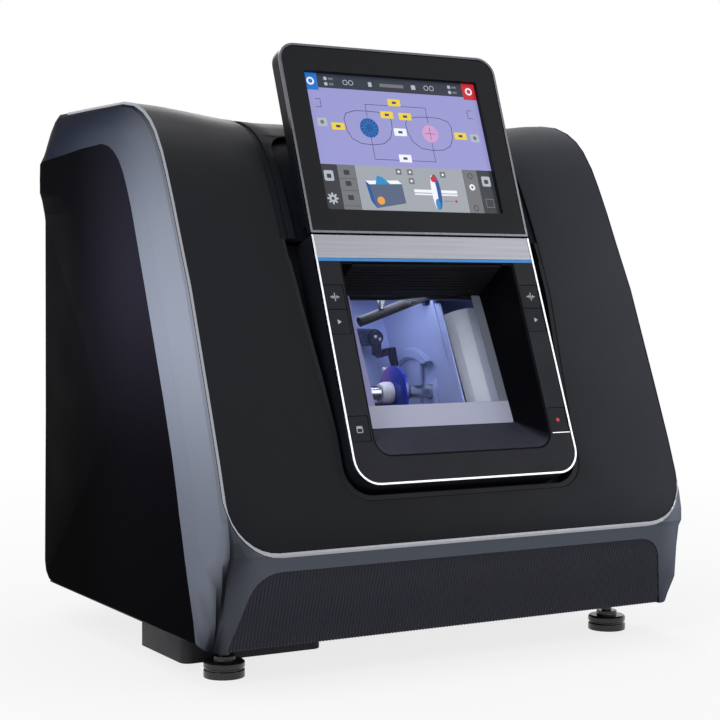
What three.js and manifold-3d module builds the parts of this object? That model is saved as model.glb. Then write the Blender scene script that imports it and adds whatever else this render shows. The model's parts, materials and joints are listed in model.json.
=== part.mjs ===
// Automatic lens edger for a table top, in millimetres.
// +X points right, +Y back and +Z up. The origin lies on the table, under the middle of the machine.
import * as THREE from "three";
import { mergeVertices } from "three/addons/utils/BufferGeometryUtils.js";
import Module from "manifold-3d";

const wasm = await Module();
wasm.setup();

// Overall size
const width = 520;
const depth = 472;
const bodyHeight = 538;
const halfWidth = width / 2;

// Fits and walls
const seam = 0.4;
const seat = 0.3;
const runningGap = 0.4;
const wall = 3;
const overrun = 20;

// Body casing
const bandWidth = 10;
const faceHalf = halfWidth - bandWidth;
const topDip = 14;
const chinCornerWidth = 16;
const lipCornerWidth = 3;
const noseCornerWidth = 25;
const noseSetback = 6;
const rearSeamY = 0.36 * depth;
const hoodBottom = 0.226 * bodyHeight;
const hoodCornerRadius = 45;
const trimWidth = 4.4;
const trimSideWidth = 0.9;
const trimProud = 0.7;

// Console, display and the slot in the hood that holds them
const gapY = -0.2962 * depth;
const gapZ = 0.7487 * bodyHeight;
const consoleLean = Math.atan2(0.2205 * depth, 0.5 * bodyHeight);
const displayLean = consoleLean - THREE.MathUtils.degToRad(1.15);
const consoleHalf = 0.23923 * width;
const consoleLength = 0.4558 * bodyHeight;
const consoleDepth = 34;
const consoleRadius = 25;
const edgeTrim = 2.1;
const gutter = 9.5;
const slotTop = 0.3457 * bodyHeight;
const slotTopHalf = 0.2846 * width;
const liner = 4.5;
const insertThickness = 9;

// Window recess and door
const apertureHalf = 0.191 * width;
const apertureTop = 28.1;
const apertureBottom = 0.4078 * bodyHeight;
const apertureRadius = 18;
const windowHalf = 0.1654 * width;
const windowTop = 43;
const windowBottom = 0.3383 * bodyHeight;
const recessDepthTop = 50;
const recessDepthBottom = 38;
const doorThickness = 4;
const doorHalf = windowHalf + 6;

// Chamber and lens chuck
const chamberLeft = 0.2 * width;
const chamberRight = 0.1846 * width;
const lensY = -0.178 * depth;
const lensZ = 0.4591 * bodyHeight;
const shaftRadius = 7;
const lensRadius = 27;
const wheelRadius = 50;
const carriageY = 0.2013 * depth;
const carriageZ = 0.6134 * bodyHeight;

const steps = 24;

// Shared helpers: three.js geometry becomes a solid, solids are joined and cut, and a solid becomes a mesh.
function toSolid(geometry) {
  const bare = geometry.clone();
  bare.deleteAttribute("normal");
  bare.deleteAttribute("uv");
  const merged = mergeVertices(bare, 1e-4);
  const mesh = new wasm.Mesh({
    numProp: 3,
    vertProperties: merged.attributes.position.array,
    triVerts: new Uint32Array(merged.index.array),
  });
  return new wasm.Manifold(mesh);
}

function toGeometry(solid) {
  const mesh = solid.getMesh();
  const count = mesh.numProp;
  const places = new Float32Array(mesh.numVert * 3);
  for (let i = 0; i < mesh.numVert; i += 1) {
    places.set(mesh.vertProperties.subarray(i * count, i * count + 3), i * 3);
  }
  const geometry = new THREE.BufferGeometry();
  geometry.setAttribute("position", new THREE.BufferAttribute(places, 3));
  geometry.setIndex(new THREE.BufferAttribute(new Uint32Array(mesh.triVerts), 1));
  return geometry;
}

function addPart(group, name, solid, material) {
  const geometry = toGeometry(solid);
  geometry.computeVertexNormals();
  const mesh = new THREE.Mesh(geometry, material.clone());
  mesh.name = name;
  group.add(mesh);
  return mesh;
}

function join(...solids) {
  return solids.reduce((whole, next) => whole.add(next));
}

function moved(solid, matrix) {
  return solid.transform(matrix.elements);
}

function extruded(points, length, basis, start) {
  const shape = new THREE.Shape(points.map(([u, v]) => new THREE.Vector2(u, v)));
  const geometry = new THREE.ExtrudeGeometry(shape, { depth: length, bevelEnabled: false, steps: 1 });
  geometry.applyMatrix4(basis);
  geometry.translate(...start);
  return toSolid(geometry);
}

const axisX = new THREE.Vector3(1, 0, 0);
const axisY = new THREE.Vector3(0, 1, 0);
const axisZ = new THREE.Vector3(0, 0, 1);

// Prisms along X, Y and Z from outlines in (Y, Z), (X, Z) and (X, Y)
function prismX(points, from, to) {
  const basis = new THREE.Matrix4().makeBasis(axisY, axisZ, axisX);
  return extruded(points, to - from, basis, [from, 0, 0]);
}

function prismY(points, from, to) {
  const basis = new THREE.Matrix4().makeBasis(axisX, axisZ, axisY.clone().negate());
  return extruded(points, to - from, basis, [0, to, 0]);
}

function prismZ(points, from, to) {
  return extruded(points, to - from, new THREE.Matrix4(), [0, 0, from]);
}

function box(x, y, z) {
  const geometry = new THREE.BoxGeometry(x[1] - x[0], y[1] - y[0], z[1] - z[0]);
  geometry.translate((x[0] + x[1]) / 2, (y[0] + y[1]) / 2, (z[0] + z[1]) / 2);
  return toSolid(geometry);
}

// A turned solid about a line along X, from [place along X, radius] pairs that start and end on the axis
function turnedX(profile, y, z, around = steps) {
  const points = profile.map(([along, radius]) => new THREE.Vector2(radius, along));
  const geometry = new THREE.LatheGeometry(points, around);
  geometry.rotateZ(-Math.PI / 2);
  geometry.translate(0, y, z);
  const solid = toSolid(geometry);
  return solid;
}

function rodX(from, to, radius, y, z, around = steps) {
  return turnedX([[from, 0], [from, radius], [to, radius], [to, 0]], y, z, around);
}

function rodZ(from, to, radius, x, y, around = steps) {
  const geometry = new THREE.CylinderGeometry(radius, radius, to - from, around);
  geometry.rotateX(Math.PI / 2);
  geometry.translate(x, y, (from + to) / 2);
  return toSolid(geometry);
}

function rodY(from, to, radius, x, z, around = steps) {
  const geometry = new THREE.CylinderGeometry(radius, radius, to - from, around);
  geometry.translate(x, (from + to) / 2, z);
  return toSolid(geometry);
}

// A rounded rectangle, with its own radius at the bottom and at the top
function roundedOutline(left, right, bottom, top, bottomRadius, topRadius, arcSteps = 8) {
  const points = [];
  const corners = [
    [left, bottom, bottomRadius, 1, 1, Math.PI],
    [right, bottom, bottomRadius, -1, 1, 1.5 * Math.PI],
    [right, top, topRadius, -1, -1, 0],
    [left, top, topRadius, 1, -1, 0.5 * Math.PI],
  ];
  for (const [x, z, radius, sideX, sideZ, startAngle] of corners) {
    for (let i = 0; i <= arcSteps; i += 1) {
      const angle = startAngle + ((i / arcSteps) * Math.PI) / 2;
      const centreX = x + sideX * radius;
      const centreZ = z + sideZ * radius;
      points.push([centreX + radius * Math.cos(angle), centreZ + radius * Math.sin(angle)]);
    }
  }
  return points;
}

// A closed skin through rings of the same number of points, with flat ends
function loft(rings, flatten) {
  const count = rings[0].length;
  const places = rings.flat().flatMap((p) => [p.x, p.y, p.z]);
  const faces = [];
  for (let r = 0; r + 1 < rings.length; r += 1) {
    for (let i = 0; i < count; i += 1) {
      const next = (i + 1) % count;
      const a = r * count + i;
      const b = r * count + next;
      faces.push([a, b, b + count], [a, b + count, a + count]);
    }
  }
  const caps = [0, rings.length - 1];
  for (const r of caps) {
    const flat = rings[r].map(flatten);
    const clockwise = THREE.ShapeUtils.isClockWise(flat);
    for (const face of THREE.ShapeUtils.triangulateShape(flat, [])) {
      const [a, b, c] = face.map((i) => r * count + i);
      const turned = (r === 0) !== clockwise;
      faces.push(turned ? [a, c, b] : [a, b, c]);
    }
  }
  const build = (list) => {
    const geometry = new THREE.BufferGeometry();
    geometry.setAttribute("position", new THREE.Float32BufferAttribute(places, 3));
    geometry.setIndex(list.flat());
    return toSolid(geometry);
  };
  const solid = build(faces);
  return solid.volume() > 0 ? solid : build(faces.map(([a, b, c]) => [a, c, b]));
}

function surface(color, roughness, metalness, extra = {}) {
  return new THREE.MeshStandardMaterial({ color, roughness, metalness, ...extra });
}

const charcoal = surface(0x2a2c31, 0.45, 0.1);
const slate = surface(0x5d6174, 0.35, 0.6);
const glossBlack = surface(0x131318, 0.2, 0.1);
const silver = surface(0xd0d0d6, 0.2, 1);
const brushed = surface(0xc4c4c9, 0.35, 0.9);
const blue = surface(0x2e8bd0, 0.4, 0);
const matteBlack = surface(0x17181b, 0.7, 0);
const zinc = surface(0x8a8d92, 0.4, 0.9);
const chamberBlue = surface(0x8f94cf, 0.5, 0);
const frosted = surface(0xb4b4cc, 0.6, 0);
const clear = surface(0xdfe4f5, 0.05, 0, { transparent: true, opacity: 0.35 });
const screenDark = surface(0x20263c, 0.15, 0);
const white = surface(0xe8e8ea, 0.5, 0);
const abrasive = surface(0xa8905a, 0.9, 0.2);
const steel = surface(0xb8bac0, 0.25, 1);
const lensBlue = surface(0x33309a, 0.1, 0.2);

// Body outline in (Y, Z), as shares of the depth and the body height, in the same order for both lines:
// chin, hood, top, rear chamfer, rear bulge, rear, rear corner and underside.
// The face line is where the hood meets the side bands, the panel line is the edge of the flat side panel.
const faceLineShares = [
  [-0.43, 0.061], [-0.449, 0.112], [-0.47, 0.171], [-0.485, 0.21],
  [-0.4945, 0.2225], [-0.4905, 0.245], [-0.479, 0.275], [-0.461, 0.316], [-0.4375, 0.372], [-0.3964, 0.465],
  [-0.3545, 0.558], [-0.312, 0.651], [-0.26, 0.7435], [-0.23, 0.799], [-0.197, 0.855], [-0.1727, 0.892],
  [-0.1407, 0.929], [-0.1144, 0.95], [-0.0805, 0.9685], [-0.034, 0.984], [0.0254, 0.992],
  [0.201, 0.996], [0.415, 1],
  [0.44, 0.992], [0.466, 0.972], [0.487, 0.938], [0.498, 0.905],
  [0.5, 0.8736], [0.499, 0.8457], [0.4915, 0.829], [0.4767, 0.8067], [0.4703, 0.788],
  [0.4703, 0.5576], [0.4703, 0.3346], [0.4703, 0.104],
  [0.462, 0.082], [0.4386, 0.0688], [0.4025, 0.066],
  [0.2119, 0.066], [-0.0424, 0.066], [-0.2966, 0.066], [-0.4025, 0.0613],
];
const panelLineShares = [
  [-0.3814, 0.0725], [-0.3676, 0.106], [-0.3422, 0.1673], [-0.3273, 0.2063],
  [-0.323, 0.2193], [-0.3136, 0.2454], [-0.302, 0.275], [-0.2888, 0.316], [-0.268, 0.3717], [-0.2263, 0.4647],
  [-0.1811, 0.5576], [-0.1356, 0.6506], [-0.089, 0.7435], [-0.0625, 0.7955], [-0.038, 0.8346],
  [-0.019, 0.8606], [0.0042, 0.8838], [0.0191, 0.894], [0.038, 0.9043], [0.0636, 0.9136], [0.1017, 0.92],
  [0.2225, 0.9184], [0.3432, 0.913],
  [0.3814, 0.9117], [0.4195, 0.9104], [0.4619, 0.9089], [0.4894, 0.9043],
  [0.4915, 0.8736], [0.4905, 0.8457], [0.483, 0.829], [0.4682, 0.8067], [0.4619, 0.788],
  [0.4619, 0.5576], [0.4619, 0.3346], [0.4619, 0.1078],
  [0.4534, 0.0892], [0.4343, 0.0762], [0.4025, 0.0725],
  [0.2119, 0.0725], [-0.0424, 0.0725], [-0.2754, 0.0725], [-0.3496, 0.0716],
];
// How far the first points of the section turn at the lower corner, and how far they stand back at the nose
const cornerShares = [[1, 0], [0.9, 0.1], [0.6, 0.5], [0.15, 0.95], [0, 1], [0, 0.7], [0, 0.35], [0, 0.1]];
const toPlace = ([y, z]) => [y * depth, z * bodyHeight];
const faceLine = faceLineShares.map(toPlace);
const panelLine = panelLineShares.map(toPlace);

// Each point of a closed outline, moved out along the mean normal of its two edges
function offsetOutline(points, distance) {
  const count = points.length;
  return points.map(([y, z], i) => {
    const [y0, z0] = points[(i + count - 1) % count];
    const [y1, z1] = points[(i + 1) % count];
    const before = new THREE.Vector2(y - y0, z - z0).normalize();
    const after = new THREE.Vector2(y1 - y, z1 - z).normalize();
    const normal = new THREE.Vector2(-(before.y + after.y), before.x + after.x).normalize();
    const spread = Math.max(0.5, Math.sqrt((1 + before.dot(after)) / 2));
    return [y + (normal.x * distance) / spread, z + (normal.y * distance) / spread];
  });
}

// Stations across the side band, from its outer edge inwards: place as a share of its width, and how
// far the section has gone from the face line to the panel line.
const bandShares = [
  [1, 1], [0.82, 0.6], [0.56, 0.3], [0.26, 0.1],
];
const faceStationShares = [1, 0.985, 0.967, 0.944, 0.918, 0.89, 0.8, 0.64, 0.472];

function sectionAt(x, blend, distance) {
  const inside = Math.abs(x);
  const dip = topDip * THREE.MathUtils.smoothstep(faceHalf - inside, 0, faceHalf - consoleHalf);
  const roundedOver = (span) => {
    const turn = THREE.MathUtils.clamp(1 - (halfWidth - inside) / span, 0, 1);
    return 1 - Math.sqrt(1 - turn * turn);
  };
  const drawn = THREE.MathUtils.clamp(1 - (faceHalf - inside) / noseCornerWidth, 0, 1);
  const setback = noseSetback * (1 - blend) * drawn * drawn;
  const mixed = faceLine.map(([y, z], i) => {
    const [chin, nose] = cornerShares[i] ?? [0, 0];
    const round = i === 0 ? roundedOver(chinCornerWidth) : roundedOver(lipCornerWidth);
    const share = THREE.MathUtils.lerp(blend, round, chin);
    const mixedY = THREE.MathUtils.lerp(y, panelLine[i][0], share) + nose * setback;
    const mixedZ = THREE.MathUtils.lerp(z, panelLine[i][1], share);
    const high = THREE.MathUtils.clamp(mixedZ / bodyHeight - 0.75, 0, 0.25) * 4;
    return [mixedY, mixedZ - dip * high * high];
  });
  return offsetOutline(mixed, distance);
}

// The whole body as one skin, larger or smaller than its true size by a distance
function bodySolid(distance) {
  const stations = [];
  for (const [share, blend] of bandShares) {
    stations.push([THREE.MathUtils.lerp(faceHalf, halfWidth + distance, share), blend]);
  }
  for (const share of faceStationShares) {
    stations.push([share * faceHalf, 0]);
  }
  const mirrored = stations.map(([x, blend]) => [-x, blend]);
  const all = [...stations, ...mirrored.reverse()];
  const rings = all.map(([x, blend]) =>
    sectionAt(x, blend, distance).map(([y, z]) => new THREE.Vector3(x, y, z)),
  );
  return loft(rings, (p) => new THREE.Vector2(p.y, p.z));
}

const panLow = 36;
const panThickness = 3.5;
const panTop = panLow + panThickness;

const bodyOuter = bodySolid(0);
const underside = box(
  [-halfWidth + wall, halfWidth - wall],
  [-0.36 * depth, 0.44 * depth],
  [-overrun, panTop + 6],
);
const shell = bodyOuter.subtract(bodySolid(-wall)).subtract(underside);

const machine = new THREE.Group();

// Frames of the console, the display and the door: local +Z runs up the plane, +Y into the machine
function leaning(y, z, lean) {
  const group = new THREE.Group();
  group.position.set(0, y, z);
  group.rotation.x = -lean;
  group.updateMatrix();
  machine.add(group);
  return group;
}

const consoleGroup = leaning(gapY, gapZ, consoleLean);
const displayGroup = leaning(gapY, gapZ, displayLean);
const toConsole = consoleGroup.matrix.clone().invert();

// Front outlines in (X, Z) that part the hood, its silver trim and the frame
const farUp = bodyHeight + overrun;
const hoodOutline = roundedOutline(
  -faceHalf + seam, faceHalf - seam, hoodBottom + seat, farUp, hoodCornerRadius, 0,
);
const trimInner = roundedOutline(
  -faceHalf, faceHalf, hoodBottom, farUp, hoodCornerRadius, 0,
);
const trimOuter = roundedOutline(
  -faceHalf - trimSideWidth, faceHalf + trimSideWidth, hoodBottom - trimWidth, farUp,
  hoodCornerRadius + trimWidth, 0,
);
const frameInner = roundedOutline(
  -faceHalf - trimSideWidth - seat, faceHalf + trimSideWidth + seat, hoodBottom - trimWidth - seat, farUp,
  hoodCornerRadius + trimWidth, 0,
);
const front = -depth / 2 - overrun;
const back = depth / 2 + overrun;

// The slot in the hood, square to the console: narrow round the console, wider beside the display
const slotHalf = consoleHalf + gutter;
const slotBottom = -consoleLength - gutter - 1.5;
function slotOutline(inset) {
  const half = slotHalf - inset;
  const bottom = slotBottom + inset;
  const radius = consoleRadius + gutter / 2 - inset / 2;
  const lower = roundedOutline(-half, half, bottom, bottom + 3 * radius, radius, 0);
  const right = lower.filter(([x, z]) => x > 0 && z < bottom + 1.01 * radius);
  const left = lower.filter(([x, z]) => x < 0 && z < bottom + 1.01 * radius);
  const flareShares = [[0, 0.25], [0.29, 0.45], [0.8, 0.75], [1, 1]];
  const flare = flareShares.map(([wide, high]) => [
    half + wide * (slotTopHalf - slotHalf),
    bottom * (1 - high),
  ]);
  const top = slotTop - inset;
  const end = slotTopHalf - inset;
  const mirrored = flare.map(([x, z]) => [-x, z]).reverse();
  return [...left, ...right, ...flare, [end, top], [-end, top], ...mirrored];
}
const slotPrism = moved(prismY(slotOutline(0), -depth / 3, depth / 2), consoleGroup.matrix);

const hoodCut = prismY(hoodOutline, front, rearSeamY - seam).subtract(slotPrism);
addPart(machine, "front_hood", shell.intersect(hoodCut), charcoal);

// Silver line round the hood, standing a little proud
const trimRing = prismY(trimOuter, front, rearSeamY).subtract(prismY(trimInner, front - 1, rearSeamY + 1));
const proudShell = bodySolid(trimProud).subtract(bodySolid(-wall + seam));
const trimClear = box([-width, width], [-0.3 * depth, back], [-overrun, 0.2 * bodyHeight]);
addPart(machine, "hood_trim", proudShell.intersect(trimRing).subtract(trimClear), silver);

// Side panels: the flat side inside the panel line, wrapped round the rear corner and the lower edge
const wrapIndex = faceLine.findIndex(([y, z]) => y > 0.45 * depth && z < 0.91 * bodyHeight);
const wrap = panelLine.map(([y, z], i) => (i >= wrapIndex ? [y > 0 ? y + overrun : y, z] : [y, z]));
function lowered(points, drop) {
  return points.map(([y, z]) => (z < 0.08 * bodyHeight ? [y, z - drop] : [y, z]));
}
const bandInside = faceHalf + trimSideWidth / 3;
function panelRegion(side, gap) {
  const outline = lowered(offsetOutline(wrap, -gap), overrun / 2);
  const from = side > 0 ? bandInside + gap : -halfWidth - overrun;
  const to = side > 0 ? halfWidth + overrun : -bandInside - gap;
  return prismX(outline, from, to);
}

// The hollow sweep behind the crease: flush along the crease, deepest at the rear edge
const creaseShares = [
  [0.47, 0.845], [0.36, 0.835], [0.265, 0.8], [0.194, 0.713], [0.145, 0.632], [0.098, 0.552], [0.045, 0.4],
  [0.015, 0.12],
];
const rearHollow = 3;
function creaseSweep(side) {
  const x = (inward) => side * (halfWidth - inward);
  const last = creaseShares.length - 1;
  const rings = creaseShares.map(([y, z], i) => {
    const fade = i === 0 || i === last ? 0.55 : 1;
    const creaseY = y * depth;
    const height = (z - (i === last ? 0.1 : 0)) * bodyHeight;
    const rear = depth / 2 + overrun;
    return [
      new THREE.Vector3(x(-0.01), creaseY, height),
      new THREE.Vector3(x(rearHollow * fade), rear, height + (i === 0 ? 0 : -1) * rearHollow),
      new THREE.Vector3(x(-overrun), rear, height + (i === 0 ? 0 : -1) * rearHollow),
      new THREE.Vector3(x(-overrun), creaseY, height),
    ];
  });
  return loft(rings, (p) => new THREE.Vector2(p.x, p.y));
}
const sides = [[1, "right_side_panel"], [-1, "left_side_panel"]];
for (const [side, name] of sides) {
  const thick = bodyOuter.subtract(bodySolid(-wall - rearHollow)).subtract(underside);
  const panel = thick.intersect(panelRegion(side, seam / 2)).subtract(creaseSweep(side));
  addPart(machine, name, panel, glossBlack);
}

// Grey frame: both side bands, the chin below the hood and the strips over the top
const frameBlank = shell
  .subtract(prismY(frameInner, front, back))
  .subtract(panelRegion(1, -seam / 2))
  .subtract(panelRegion(-1, -seam / 2));

// Ribbed grille in the chin: a trapezoid with upright ribs, open to the lower edge
const chinLean = Math.atan2(faceLine[3][0] - faceLine[0][0], faceLine[3][1] - faceLine[0][1]);
const chinGroup = leaning(faceLine[0][0], faceLine[0][1], chinLean);
const grilleTopHalf = 0.424 * width;
const grilleBottomHalf = 0.4635 * width;
const grilleHeight = 0.1375 * bodyHeight;
const grilleRadius = 29;
const ribPitch = 3.3;
const ribDepth = 1.3;
const grilleThickness = 8;
function grilleOutline(grow) {
  const slope = (grilleBottomHalf - grilleTopHalf) / grilleHeight;
  const top = grilleHeight + grow;
  const low = -overrun;
  const topHalf = grilleTopHalf + grow;
  const lowHalf = topHalf + slope * (top - low);
  const corner = [];
  for (let i = 0; i <= 6; i += 1) {
    const angle = (i / 6) * (Math.PI / 2 - Math.atan(slope));
    corner.push([
      topHalf - grilleRadius * (0.75 - Math.sin(angle)),
      top - grilleRadius * (1 - Math.cos(angle)),
    ]);
  }
  const mirrored = corner.map(([x, z]) => [-x, z]).reverse();
  return [[-lowHalf, low], [lowHalf, low], ...corner.reverse(), ...mirrored.reverse()];
}
const grilleHole = moved(prismY(grilleOutline(seam), -overrun, overrun), chinGroup.matrix);
const ribLine = [];
const ribCount = Math.floor((2 * grilleBottomHalf) / ribPitch);
for (let i = 0; i < ribCount; i += 1) {
  const x = (i - ribCount / 2) * ribPitch;
  ribLine.push([x, 0], [x + ribPitch / 2, ribDepth]);
}
const ribEnd = (ribCount / 2) * ribPitch;
const ribProfile = [...ribLine, [ribEnd, grilleThickness], [-ribEnd, grilleThickness]];
const ribbed = prismZ(ribProfile, 1, grilleHeight + 1).intersect(prismY(grilleOutline(0), -overrun, overrun));
const grille = moved(ribbed, chinGroup.matrix).intersect(bodySolid(-seat));
addPart(machine, "front_grille", grille, charcoal);

const rearRegion = box(
  [-faceHalf - bandWidth, faceHalf + bandWidth],
  [rearSeamY, back],
  [-overrun, 0.3 * bodyHeight],
);
const frameBodies = frameBlank.subtract(grilleHole).subtract(rearRegion).decompose();
const frame = frameBodies.reduce((most, body) => (body.volume() > most.volume() ? body : most));
addPart(machine, "front_frame", frame, slate);

// Rear cover with two banks of vent slots and the recess of the power inlet
const ventCount = 9;
const ventPitch = 11;
const ventWidth = 4.5;
const ventLength = 110;
const ventTop = 0.72 * bodyHeight;
const ventX = 0.2 * width;
const inletWidth = 28;
const inletHeight = 50;
const inletX = -0.36 * width;
const inletZ = 0.22 * bodyHeight;
const rearFace = faceLine[33][0];
const inletCut = box(
  [inletX - inletWidth / 2, inletX + inletWidth / 2],
  [rearFace - overrun, back],
  [inletZ - inletHeight / 2, inletZ + inletHeight / 2],
);
const rearPart = box([-faceHalf + seam, faceHalf - seam], [rearSeamY + seam, back], [-overrun, farUp]);
let rearCover = shell.intersect(rearPart);
for (let i = 0; i < ventCount; i += 1) {
  const z = ventTop - i * ventPitch;
  for (const x of [-ventX, ventX]) {
    const across = [x - ventLength / 2, x + ventLength / 2];
    const slot = box(across, [rearFace - overrun, back], [z, z + ventWidth]);
    rearCover = rearCover.subtract(slot);
  }
}
addPart(machine, "rear_cover", rearCover.subtract(inletCut), matteBlack);

// Power inlet module with its earth and line sockets side open, and the rocker switch above the socket
const flange = 4;
const socketHalf = 9;
const socketDepth = 16;
const rockerHeight = 14;
const inletBody = join(
  box(
    [inletX - inletWidth / 2 + seat, inletX + inletWidth / 2 - seat],
    [rearFace - 30, rearFace + 1],
    [inletZ - inletHeight / 2 + seat, inletZ + inletHeight / 2 - seat],
  ),
  box(
    [inletX - inletWidth / 2 - flange, inletX + inletWidth / 2 + flange],
    [rearFace + seat, rearFace + 2.5],
    [inletZ - inletHeight / 2 - flange, inletZ + inletHeight / 2 + flange],
  ),
);
const socketZ = inletZ - inletHeight / 6;
const socket = box(
  [inletX - socketHalf, inletX + socketHalf],
  [rearFace - socketDepth, back],
  [socketZ - 12, socketZ + 12],
);
const rockerZ = inletZ + inletHeight / 2 - rockerHeight / 2 - 3;
const rockerHole = box(
  [inletX - socketHalf, inletX + socketHalf],
  [rearFace - socketDepth / 2 - 4, back],
  [rockerZ - rockerHeight / 2, rockerZ + rockerHeight / 2],
);
addPart(machine, "power_inlet", inletBody.subtract(socket).subtract(rockerHole), matteBlack);
const rockerPivotY = rearFace - 1.5;
const rockerSide = rockerHeight / 2 - 1.2;
const rocker = prismX(
  [
    [rockerPivotY - 3.5, rockerZ - 3],
    [rockerPivotY + 3.6, rockerZ - rockerSide],
    [rockerPivotY + 2.4, rockerZ],
    [rockerPivotY + 3.6, rockerZ + rockerSide],
    [rockerPivotY - 3.5, rockerZ + 3],
  ],
  inletX - socketHalf + runningGap,
  inletX + socketHalf - runningGap,
);
addPart(machine, "power_switch", rocker, glossBlack);

// Centre insert behind the display, with its lowered side strips, the display pocket and the hinge window
const channelWidth = 8.5;
const pocketDepth = 6;
const pocketHalf = consoleHalf + 7.6;
const pocketTop = 0.2268 * bodyHeight;
const hingeHalf = 66;
const hingeWindow = 34;
const insertBottom = 2;
const insertRegion = moved(
  prismY(slotOutline(seam), -depth / 3, depth / 2).intersect(
    box([-width, width], [-depth, depth], [insertBottom, farUp]),
  ),
  consoleGroup.matrix,
);
const insertShell = bodySolid(-seat).subtract(bodySolid(-insertThickness));
const stripShell = bodySolid(overrun).subtract(bodySolid(-2.5));
const stripInside = moved(
  box([-slotTopHalf + channelWidth, slotTopHalf - channelWidth], [-depth, depth], [-depth, depth]),
  consoleGroup.matrix,
);
const pocketRegion = moved(
  prismY(roundedOutline(-pocketHalf, pocketHalf, -overrun, pocketTop, 1, 25), -depth / 3, depth / 3),
  consoleGroup.matrix,
);
const pocketShell = bodySolid(overrun).subtract(bodySolid(-pocketDepth));
const hingeHole = moved(
  box([-hingeHalf - 8, hingeHalf + 8], [-depth / 3, depth / 3], [-overrun, hingeWindow]),
  consoleGroup.matrix,
);
const insert = insertShell
  .intersect(insertRegion)
  .subtract(stripShell.subtract(stripInside))
  .subtract(pocketShell.intersect(pocketRegion))
  .subtract(hingeHole);
addPart(machine, "centre_insert", insert, charcoal);

// Tray that lines the slot round the console; the console housing stands on its floor
const trayFloor = consoleDepth + seat;
const trayBlock = prismY(slotOutline(seam), -depth / 3, trayFloor + liner)
  .intersect(box([-width, width], [-depth, depth], [-depth, insertBottom - seam]))
  .intersect(moved(bodySolid(-0.6), toConsole));
const trayHollow = prismY(slotOutline(seam + liner), -depth / 3, trayFloor)
  .add(box([-slotTopHalf + liner, slotTopHalf - liner], [-depth / 3, trayFloor], [-overrun, overrun]));
const floorHole = box(
  [-apertureHalf - liner, apertureHalf + liner],
  [0, depth],
  [-apertureBottom + 2, -apertureTop + 12],
);
addPart(consoleGroup, "pocket_liner", trayBlock.subtract(trayHollow).subtract(floorHole), charcoal);

// Line of the display hinge, in the frame of the display
const hingeY = 15;
const hingeZ = 3;
const barrelRadius = 6;
const pinRadius = 3;

// Console housing: face with aperture and button openings, and a skirt round it
const consoleTop = -0.8;
const faceThickness = 5;
const barHeight = 23.5;
const accentHeight = 3;
const outlineAt = (inset, top) =>
  roundedOutline(
    -consoleHalf + inset, consoleHalf - inset, -consoleLength + inset, top, consoleRadius - inset, 0,
  );
const aperture = roundedOutline(-apertureHalf, apertureHalf, -apertureBottom, -apertureTop, apertureRadius, 2);
const barTop = consoleTop;
const barBottom = barTop - barHeight;
const accentBottom = barBottom - seat - accentHeight;
const columnInner = apertureHalf + 1.5;
const columnOuter = consoleHalf - edgeTrim - seat - 0.5;
const upperButtons = [-apertureTop - 23.5, -apertureTop - 48.1];
const lowerButton = -apertureBottom + 39.8;
const buttonHeight = 24.2;
const trimDepth = 3;
const trimRebate = prismY(outlineAt(-1, overrun), -overrun, trimDepth + seat).subtract(
  prismY(outlineAt(edgeTrim + seat, 2 * overrun), -2 * overrun, 2 * overrun),
);
let housing = prismY(outlineAt(0, consoleTop), 0, consoleDepth)
  .subtract(prismY(outlineAt(wall, consoleTop - wall), faceThickness, consoleDepth + 1))
  .subtract(prismY(aperture, -1, overrun))
  .subtract(trimRebate)
  .subtract(box([-consoleHalf, consoleHalf], [-1, 1.6], [accentBottom - seat, overrun]))
  .subtract(
    box([-hingeHalf - 6, hingeHalf + 6], [hingeY - barrelRadius - 0.8, depth], [consoleTop - wall - 1, overrun]),
  );
for (const side of [-1, 1]) {
  const left = side > 0 ? columnInner : -columnOuter;
  const right = side > 0 ? columnOuter : -columnInner;
  const pairTop = upperButtons[0] + seat;
  const pairBottom = upperButtons[1] - buttonHeight - seat;
  housing = housing
    .subtract(box([left, right], [-1, overrun], [pairBottom, pairTop]))
    .subtract(box([left, right], [-1, overrun], [lowerButton - buttonHeight - seat, lowerButton + seat]));
}
addPart(consoleGroup, "console_housing", housing, charcoal);

const consoleRing = prismY(outlineAt(0, consoleTop), -0.6, trimDepth).subtract(
  prismY(outlineAt(edgeTrim, overrun), -overrun, overrun),
);
addPart(consoleGroup, "console_trim", consoleRing, silver);
const barHalf = consoleHalf - edgeTrim - seat;
addPart(consoleGroup, "console_bar", box([-barHalf, barHalf], [0, 1.3], [barBottom, barTop]), brushed);
addPart(
  consoleGroup,
  "accent_strip",
  box([-barHalf, barHalf], [-0.1, 1.3], [accentBottom, accentBottom + accentHeight]),
  blue,
);

// Six push buttons, each with a domed top and a stem towards its switch
const buttonRows = [
  ["clamp", upperButtons[0]], ["start", upperButtons[1]],
];
function addButton(name, side, top) {
  const left = side > 0 ? columnInner + seat : -columnOuter + seat;
  const right = side > 0 ? columnOuter - seat : -columnInner - seat;
  const bottom = top - buttonHeight;
  const middle = (left + right) / 2;
  const cap = prismY(roundedOutline(left, right, bottom, top, 1, 1, 2), 0.2, faceThickness - 1);
  const stem = box([middle - 4, middle + 4], [faceThickness - 1.1, faceThickness + 3], [bottom + 8, top - 8]);
  addPart(consoleGroup, name, cap.add(stem), charcoal);
}
for (const [label, top] of buttonRows) {
  addButton("left_" + label + "_button", -1, top);
  addButton("right_" + label + "_button", 1, top);
}
addButton("door_button", -1, lowerButton);
addButton("stop_button", 1, lowerButton);

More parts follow.
